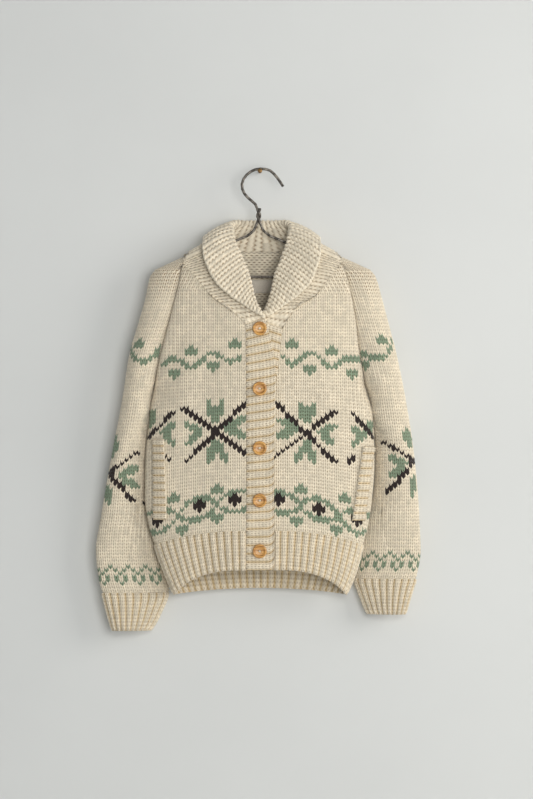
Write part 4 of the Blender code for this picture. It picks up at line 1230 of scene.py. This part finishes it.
def make_collar_piece(name):
    """Garter stitch in ridges across the strip, a row of bumps along each ridge, a fold at
    its middle and a slipped stitch along its free edge."""
    cloth = Cloth()
    k_steps = np.concatenate([np.linspace(0, FOLD_START, 27),
                              np.linspace(FOLD_START, FOLD_END, 10)[1:],
                              np.linspace(FOLD_END, 1, 43)[1:]])
    shares = np.linspace(0, 1, 6 * RIDGES_SHOWN + 1)
    fine = np.linspace(0, 1, 1201)
    run = np.linalg.norm(np.diff(collar(fine, 0.45 + 0 * fine), axis=0), axis=-1)
    w_steps = np.interp(shares * run.sum(), np.append(0, np.cumsum(run)), fine)
    w, k = np.broadcast_arrays(w_steps[None, :], k_steps[:, None])
    place = collar(w, k)
    out = face_out(place, True)
    out[0] = seam_normal(w_steps)
    length = np.concatenate([np.zeros((1, w.shape[1])), np.cumsum(
        np.linalg.norm(np.diff(place, axis=0), axis=-1), axis=0)])
    number = shares * RIDGES_SHOWN + RIPPLE * np.cos(2 * math.pi * length / WALE)
    ridge = 0.5 - 0.5 * np.cos(2 * math.pi * number)
    bumps = np.cos(2 * math.pi * (length / WALE + 0.5 * (np.floor(number) % 2)))
    left = length[-1] - length
    selvedge = np.exp(-((left - SELVEDGE_AT) / SELVEDGE_WIDTH) ** 2)
    thin = THIN_BY * np.exp(-(left / THIN_OVER) ** 2)
    relief = 1.4 * GARTER * (ridge * (0.72 + 0.34 * bumps)) * (1 - 0.75 * selvedge)
    relief = relief + SELVEDGE_HEIGHT * selvedge - thin
    coords = np.stack([length / WALE, number], axis=-1) + FIRST
    colours = np.broadcast_to(YARNS[CREAM], (len(k) - 1, w.shape[1] - 1, 4)).copy()
    # less painted shade in the holes along the slipped stitch, and none at the collar's two ends
    colours[..., 3] *= 1 - 0.8 * selvedge[:-1, :-1]
    colours[:, [0, 1, 2, -3, -2, -1], 3] = 0
    swell = out * (WALL / 2 - COLLAR_IN + relief)[..., None]
    index, quads = cloth.add_grid(place - swell, coords, None, colours, False, 1)
    cloth.add_rim(index, quads, place - swell, -2 * swell, 1.0)
    cloth.add_grid(place + swell, coords, None, colours, True, 1)
    return cloth.make(name)


add("collar", make_collar_piece)


# ---------------------------------------------------------------------------------------
# Buttons, label, hanger and nail
# ---------------------------------------------------------------------------------------

def grain_finish(name, dark, light, rough, scale, bump, **values):
    """Streaked finish: grain stretched along one way, with a little relief."""
    made, tree, shader = finish(name, Roughness=rough, **values)
    place = node(tree, "ShaderNodeTexCoord", {})["Object"]
    stretched = node(tree, "ShaderNodeMapping", {0: place, "Scale": scale})[0]
    grain = node(tree, "ShaderNodeTexNoise", {0: stretched, "Scale": 1.0, "Detail": 6.0,
                                              "Distortion": 0.8})[0]
    sharp = node(tree, "ShaderNodeMapRange", {"Value": grain, "From Min": 0.36, "From Max": 0.66},
                 interpolation_type="SMOOTHSTEP")[0]
    colour = node(tree, "ShaderNodeMix", {0: sharp, 6: (*dark, 1.0), 7: (*light, 1.0)},
                  data_type="RGBA")[2]
    coloured(tree, shader, colour, grain, bump)
    return made


OCHRE = grain_finish("ochre_grain", (0.36, 0.155, 0.03), (0.68, 0.36, 0.085), 0.38,
                     (60, 60, 420), 0.0002, Coat_Weight=0.35, Coat_Roughness=0.2)
THREAD = grain_finish("cream_thread", (0.50, 0.42, 0.30), (0.86, 0.80, 0.68), 0.9,
                      (900, 900, 900), 0.0004)
TAPE = grain_finish("woven_tape", (0.60, 0.54, 0.45), (0.78, 0.72, 0.62), 0.85,
                    (2400, 500, 2400), 0.0003)
WIRE_DARK = grain_finish("dark_wire", (0.055, 0.048, 0.042), (0.26, 0.235, 0.20), 0.42,
                         (160, 160, 160), 0.00008, Metallic=0.6)
BRASS = grain_finish("old_brass", (0.10, 0.045, 0.02), (0.50, 0.31, 0.12), 0.45,
                     (420, 420, 420), 0.0001, Metallic=0.85)


def to_mesh(name, shape, finishes):
    """A mesh from a finished shape, with its finishes."""
    mesh = bpy.data.meshes.new(name)
    shape.to_mesh(mesh)
    shape.free()
    for made in finishes:
        mesh.materials.append(made)
    return mesh


def solid_piece(name, finishes, node_name, grids):
    """A closed piece from grids of points, each with its finish: equal points are welded."""
    shape = bmesh.new()
    for points, number in grids:
        corners = [[shape.verts.new(point) for point in row] for row in (points * MM).tolist()]
        for low, high in zip(corners[:-1], corners[1:]):
            for ring in zip(low[:-1], low[1:], high[1:], high[:-1]):
                face = shape.faces.new(ring)
                face.material_index, face.smooth = number, True
    bmesh.ops.remove_doubles(shape, verts=shape.verts, dist=1e-6)
    bmesh.ops.recalc_face_normals(shape, faces=shape.faces)
    return placed(name, to_mesh(name, shape, finishes), node_name)


# Share of the radius, of the thickness and of the hole's oval shape, from the middle outwards
BUTTON_PROFILE = [
    (0.0, 0.30, 1.0), (0.10, 0.30, 1.0), (0.155, 0.32, 1.0), (0.165, 0.50, 1.0),
    (0.185, 0.60, 1.0), (0.25, 0.62, 0.8), (0.45, 0.60, 0.3), (0.64, 0.66, 0.1),
    (0.71, 0.80, 0), (0.76, 0.94, 0), (0.81, 1.0, 0), (0.87, 1.0, 0), (0.93, 0.93, 0),
    (0.98, 0.76, 0), (1.0, 0.55, 0), (0.985, 0.30, 0), (0.93, 0.08, 0), (0.88, 0.0, 0),
    (0.0, 0.0, 0),
]
STRANDS = (-0.935, 0.0, 0.935)        # heights of the thread's strands in the hole
STRAND_RADIUS, STRAND_REACH = 0.62, 2.1
TILTS = (0.35, -0.2, 0.5, 0.1, -0.4)  # of the buttons' ovals, in radians


def make_button(number, height, tilt):
    """A turned button: a raised rim, a dished middle and an oval hole with thread in it."""
    turn = np.linspace(0, 2 * math.pi, 49)[None, :]
    radius, rise, oval = np.array(BUTTON_PROFILE).T[..., None]
    face = band_surface(TOP_BAND, True)(np.array(0.5), np.array(height))
    base = face[1] - RIB - LAID - 0.4

    def tilted(x, depth, z):
        """Points in front of the button's back, turned by its tilt."""
        turned_x = x * math.cos(tilt) - z * math.sin(tilt)
        turned_z = x * math.sin(tilt) + z * math.cos(tilt)
        return np.stack([BUTTON_X + turned_x, base - depth, height + turned_z], axis=-1)

    disc = tilted(BUTTON_RADIUS * radius * np.cos(turn) * (1 + 0.45 * oval),
                  BUTTON_THICK * rise + 0 * turn,
                  BUTTON_RADIUS * radius * np.sin(turn) * (1 - 0.12 * oval))
    along = np.linspace(-1, 1, 13)[:, None]
    around = np.linspace(0, 2 * math.pi, 11)[None, :]
    size = STRAND_RADIUS * np.sqrt(np.maximum(1 - along ** 4, 0))
    depth = BUTTON_THICK * 0.50 + 0.45 * (1 - along ** 2) + size * np.cos(around)
    strands = [tilted(along * STRAND_REACH + 0 * around, depth, strand + size * np.sin(around))
               for strand in STRANDS]
    solid_piece(f"turned_button_{number}", [OCHRE, THREAD], f"button_{number}",
                [(disc, 0)] + [(tube, 1) for tube in strands])


for number, (height, tilt) in enumerate(zip(BUTTON_Z, TILTS), start=1):
    make_button(number, height, tilt)


LABEL_X, LABEL_Z = (-13.5, 19.5), (-184.0, -164.0)
LABEL_THICK = 0.6


def make_label(name):
    """A blank woven tape on the inside of the back, with a turned end at each side."""
    x, z = np.broadcast_arrays(np.linspace(*LABEL_X, 45)[None, :], np.linspace(*LABEL_Z, 27)[:, None])
    share = share_at(x, z)
    inward = normals(on_body, share, z, 0.004)
    end = np.minimum(x - LABEL_X[0], LABEL_X[1] - x)
    side = np.minimum(z - LABEL_Z[0], LABEL_Z[1] - z)
    hem = 0.35 * (smooth_step(end / 0.8) + 1 - smooth_step((end - 3.4) / 0.6))
    stitch = 0.3 * np.exp(-((end - 2.2) / 0.35) ** 2) * (0.5 + 0.5 * np.cos(z * 2.6))
    puffed = 0.5 * smooth_step(side / 2) * smooth_step(end / 5)
    near = on_body(share, z) + inward * (WALL + LAID)
    far = near + inward * (LABEL_THICK + hem + puffed - stitch)[..., None]
    edges = [np.stack([far[edge], near[edge]])
             for edge in (np.s_[0], np.s_[-1], np.s_[:, 0], np.s_[:, -1])]
    return solid_piece("woven_label", [TAPE], name,
                       [(grid, 0) for grid in (far, near, *edges)])


add("neck_label", make_label)


def smooth_copy(name, node_name, made, fuller):
    """The node's own shape as a welded, smoothly shaded piece with a richer finish. Fuller
    is how far, in millimetres, it swells to make up for its flat facets."""
    shape = bmesh.new()
    shape.from_mesh(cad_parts[node_name].data)
    bmesh.ops.remove_doubles(shape, verts=shape.verts, dist=1e-6)
    shape.normal_update()
    for vert in shape.verts:
        vert.co += vert.normal * fuller * MM
    for face in shape.faces:
        face.smooth = True
        face.material_index = 0
    placed(name, to_mesh(name, shape, [made]), node_name)


smooth_copy("hanger_wire", "hanger", WIRE_DARK, 0.35)
smooth_copy("brass_nail", "wall_nail", BRASS, 0.1)


# ---------------------------------------------------------------------------------------
# Wall, floor, lights and camera, in metres
# ---------------------------------------------------------------------------------------

WALL_Y, WALL_HALF, FLOOR_Z, WALL_TOP = 0.0415, 1.7, -1.05, 1.6


def pale_paint(name, colour, see_through):
    """Matt paint with a soft mottle. A see-through one shows only on its front."""
    made, tree, shader = finish(name, Roughness=0.9)
    mottle = maths(tree, "MULTIPLY", noise(tree, 3.0, 5.0), 0.10)
    tone = maths(tree, "ADD", mottle, 0.95)
    paint = node(tree, "ShaderNodeVectorMath", {0: colour, "Scale": tone}, operation="SCALE")[0]
    tree.links.new(paint, shader.inputs["Base Color"])
    if see_through:
        behind = node(tree, "ShaderNodeNewGeometry", {})["Backfacing"]
        shadow = node(tree, "ShaderNodeLightPath", {})["Is Shadow Ray"]
        clear = node(tree, "ShaderNodeBsdfTransparent", {})[0]
        either = node(tree, "ShaderNodeMixShader", {
            0: maths(tree, "MAXIMUM", behind, shadow), 1: shader.outputs[0], 2: clear})[0]
        tree.links.new(either, tree.nodes["Material Output"].inputs[0])
    return made


def stage_plane(name, corners, made):
    """A flat backdrop, which is no part of the object."""
    mesh = bpy.data.meshes.new(name)
    mesh.from_pydata(corners, [], [(0, 1, 2, 3)])
    mesh.materials.append(made)
    linked(name, mesh)


stage_plane("wall", [(-WALL_HALF, WALL_Y, FLOOR_Z), (WALL_HALF, WALL_Y, FLOOR_Z),
                     (WALL_HALF, WALL_Y, WALL_TOP), (-WALL_HALF, WALL_Y, WALL_TOP)],
            pale_paint("wall_paint", (0.655, 0.668, 0.66), True))
stage_plane("floor", [(-4, -7, FLOOR_Z), (4, -7, FLOOR_Z), (4, 5, FLOOR_Z), (-4, 5, FLOOR_Z)],
            pale_paint("floor_paint", (0.62, 0.62, 0.61), False))


MIDDLE = (0, 0, -0.36)


def area_light(name, place, size, power, colour):
    """A square light that is aimed at the garment's middle."""
    lamp = bpy.data.lights.new(name, "AREA")
    lamp.shape, lamp.size, lamp.energy, lamp.color = "SQUARE", size, power, colour
    thing = linked(name, lamp)
    thing.location = place
    way = Vector(MIDDLE) - Vector(place)
    thing.rotation_euler = way.to_track_quat("-Z", "Y").to_euler()


area_light("key", (2.6, -1.5, 0.3), 1.6, 41, (1.0, 0.965, 0.91))
area_light("front", (0.8, -3.8, -0.1), 1.6, 68, (1.0, 0.985, 0.96))
area_light("back_left", (-1.8, 2.6, 0.8), 1.4, 26, (1.0, 0.98, 0.95))
area_light("back_right", (2.0, 2.4, 0.2), 1.4, 18, (0.95, 0.97, 1.0))

world = bpy.data.worlds.new("studio")
world.use_nodes = True
sky = world.node_tree.nodes["Background"]
sky.inputs["Color"].default_value = (0.90, 0.94, 0.97, 1.0)
sky.inputs["Strength"].default_value = 0.33
bpy.context.scene.world = world
bpy.context.scene.view_settings.view_transform = "Standard"

SEEN_X, SEEN_Z = 0.00975, -0.34425     # the place at the photograph's middle
FROM_Y, FOCAL_LENGTH = -6.0, 180.2

lens = bpy.data.cameras.new("camera")
lens.lens, lens.sensor_width, lens.sensor_fit = FOCAL_LENGTH, 36.0, "AUTO"
lens.clip_start, lens.clip_end = 0.1, 50.0
camera = linked("camera", lens)
camera.location = (SEEN_X, FROM_Y, SEEN_Z)
camera.rotation_euler = (math.pi / 2, 0, 0)
bpy.context.scene.camera = camera
